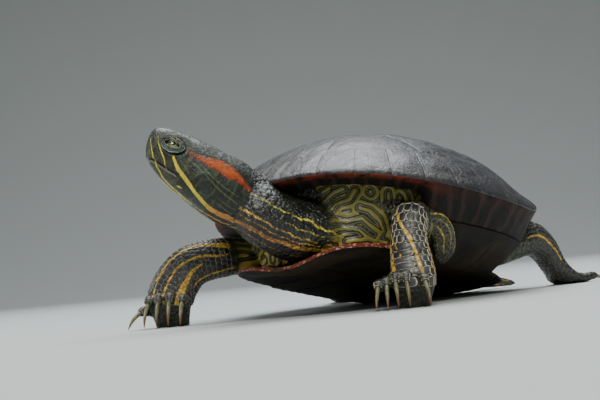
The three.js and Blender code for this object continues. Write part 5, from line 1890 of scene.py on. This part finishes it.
class TURTLE_OT_eyes(bpy.types.Operator):
    """Sets the eyes between their lids"""

    bl_idname = "turtle.eyes"
    bl_label = "Eyes"

    def execute(self, context):
        for side, name in ((1, "left"), (-1, "right")):
            add_piece(f"eyeball_{name}", eye_mesh(f"eyeball_{name}", side),
                      shared_material("wet_eye", eye_material), "eye", f"eye_{name}")
            add_piece(f"lids_{name}", lids_mesh(f"lids_{name}", side),
                      shared_material("lid_skin", lid_material), "skin")
        return {"FINISHED"}


class TURTLE_OT_claws(bpy.types.Operator):
    """Puts the claws on the feet"""

    bl_idname = "turtle.claws"
    bl_label = "Claws"

    def execute(self, context):
        for limb, foot in FEET.items():
            nodes = [f"claw_{limb}_{index + 1}" for index in range(len(foot["digits"]))]
            add_piece(f"claws_{limb}", claws_mesh(f"claws_{limb}", foot),
                      shared_material("claw_horn", claw_material), "claw", *nodes)
        return {"FINISHED"}


# ---------- the stage, in metres ----------
# The camera's place is in millimetres of the measuring frame, as the animal's measures are.
CAMERA_AT = (391.2, -641.2, 24.72)
CAMERA_LENS = 81.77
CAMERA_AXES = ((0.81786482, 0.56768115, -0.09399596), (0.10510314, 0.01322383, 0.9943734),
               (0.56573003, -0.8231423, -0.04884977))
FLOOR_REACH = 1.6
FLOOR_CURVE = 0.9
FLOOR_HALF_WIDTH = 4.0
WALL_HEIGHT = 3.0
# Each light's name, place, aim, size, power in watts and tint.
LIGHTS = (
    ("sky", (-0.1, 0.35, 1.4), (0, 0, 0.05), 1.5, 38, (0.93, 0.97, 1.0)),
    ("key", (0.75, -1.05, 1.15), (0, 0, 0.05), 0.5, 17, (1.0, 0.97, 0.92)),
    ("side", (-1.3, -0.5, 0.7), (0, -0.05, 0.06), 0.7, 7, (0.95, 0.98, 1.0)),
)


def floor_mesh():
    """A floor that runs away from the camera, bends up along a quarter circle and goes on as a wall."""
    away = unit(np.array([-CAMERA_AXES[2][0], -CAMERA_AXES[2][1], 0]))
    aside = np.array([-away[1], away[0], 0])
    bend = np.linspace(0.05, np.pi / 2, 24)
    wall = np.linspace(1.1, WALL_HEIGHT, 8)
    run = np.concatenate([np.linspace(-FLOOR_REACH, FLOOR_REACH, 30),
                          FLOOR_REACH + FLOOR_CURVE * np.sin(bend), 0 * wall + FLOOR_REACH + FLOOR_CURVE])
    rise = np.concatenate([np.zeros(30), FLOOR_CURVE * (1 - np.cos(bend)), wall])
    spread = np.linspace(-FLOOR_HALF_WIDTH, FLOOR_HALF_WIDTH, 12)
    points = (run[:, None, None] * away + spread[None, :, None] * aside
              + rise[:, None, None] * np.array([0, 0, 1.0])).reshape(-1, 3)
    grid = np.arange(len(run) * len(spread)).reshape(len(run), len(spread))
    quads = np.stack([grid[:-1, :-1], grid[:-1, 1:], grid[1:, 1:], grid[1:, :-1]], -1).reshape(-1, 4)
    mesh = bpy.data.meshes.new("floor")
    mesh.from_pydata(points, [], quads.tolist())
    mesh.polygons.foreach_set("use_smooth", np.ones(len(mesh.polygons), bool))
    return mesh


def floor_material(colours):
    """Matt pale paint, faintly clouded."""
    material, nodes, shader = new_material("studio_floor", {"Specular IOR Level": 0.2, "Roughness": 0.8})
    cloud = nodes.noise(nodes.place(), 3.0, 2.0)
    darker = [value * 0.96 for value in colours.floor]
    nodes.feed(shader["Base Color"], nodes.blend(cloud, colours.floor, darker))
    return material


def area_light(name, place, aim, size, power_watts, tint):
    """A soft round light that faces its aim."""
    data = bpy.data.lights.new(name, "AREA")
    data.shape = "DISK"
    data.size, data.energy, data.color = size, power_watts, tint
    light = bpy.data.objects.new(name, data)
    bpy.context.scene.collection.objects.link(light)
    light.location = place
    light.rotation_euler = (Vector(place) - Vector(aim)).to_track_quat("Z", "Y").to_euler()


def place_camera():
    """The camera, with its axes to the right, up and backwards as columns."""
    data = bpy.data.cameras.new("camera")
    data.lens = CAMERA_LENS
    data.sensor_width = 36
    data.clip_start = 0.01
    camera = bpy.data.objects.new("camera", data)
    bpy.context.scene.collection.objects.link(camera)
    matrix = np.eye(4)
    matrix[:3, :3] = np.array(CAMERA_AXES).T
    matrix[:3, 3] = to_frame(CAMERA_AT)
    camera.matrix_world = Matrix(matrix.tolist())
    bpy.context.scene.camera = camera


class TURTLE_OT_stage(bpy.types.Operator):
    """Sets up the pale floor, the soft studio light and the camera"""

    bl_idname = "turtle.stage"
    bl_label = "Stage"

    def execute(self, context):
        floor = bpy.data.objects.new("floor", floor_mesh())
        context.scene.collection.objects.link(floor)
        floor.data.materials.append(floor_material(context.scene.turtle_colours))
        world = bpy.data.worlds.new("studio")
        context.scene.world = world
        world.use_nodes = True
        backdrop = world.node_tree.nodes["Background"].inputs
        backdrop["Color"].default_value = (0.8, 0.88, 0.9, 1)
        backdrop["Strength"].default_value = 0.22
        for light in LIGHTS:
            area_light(*light)
        place_camera()
        return {"FINISHED"}


class TURTLE_PT_panel(bpy.types.Panel):
    """Lists the steps that dress the turtle"""

    bl_idname = "TURTLE_PT_panel"
    bl_label = "Turtle"
    bl_space_type = "VIEW_3D"
    bl_region_type = "UI"
    bl_category = "Turtle"

    def draw(self, context):
        for step in STEPS:
            self.layout.operator(step)
        for group in (context.scene.turtle_sizes, context.scene.turtle_colours):
            box = self.layout.box()
            for name in group.bl_rna.properties.keys():
                if name not in ("rna_type", "name"):
                    box.prop(group, name)


STEPS = ("turtle.shell", "turtle.skin", "turtle.plates", "turtle.eyes", "turtle.claws", "turtle.stage")
CLASSES = (TurtleSizes, TurtleColours, TURTLE_OT_shell, TURTLE_OT_skin, TURTLE_OT_plates, TURTLE_OT_eyes,
           TURTLE_OT_claws, TURTLE_OT_stage, TURTLE_PT_panel)


def register():
    """Makes the classes known and gives the scene its sizes and colours."""
    for item in CLASSES:
        bpy.utils.register_class(item)
    bpy.types.Scene.turtle_sizes = PointerProperty(type=TurtleSizes)
    bpy.types.Scene.turtle_colours = PointerProperty(type=TurtleColours)


def unregister():
    """Takes back what register did."""
    del bpy.types.Scene.turtle_sizes
    del bpy.types.Scene.turtle_colours
    for item in reversed(CLASSES):
        bpy.utils.unregister_class(item)


def main():
    """Registers the classes and makes every piece in order."""
    register()
    for step in STEPS:
        family, name = step.split(".")
        getattr(getattr(bpy.ops, family), name)()


if __name__ == "__main__":
    main()
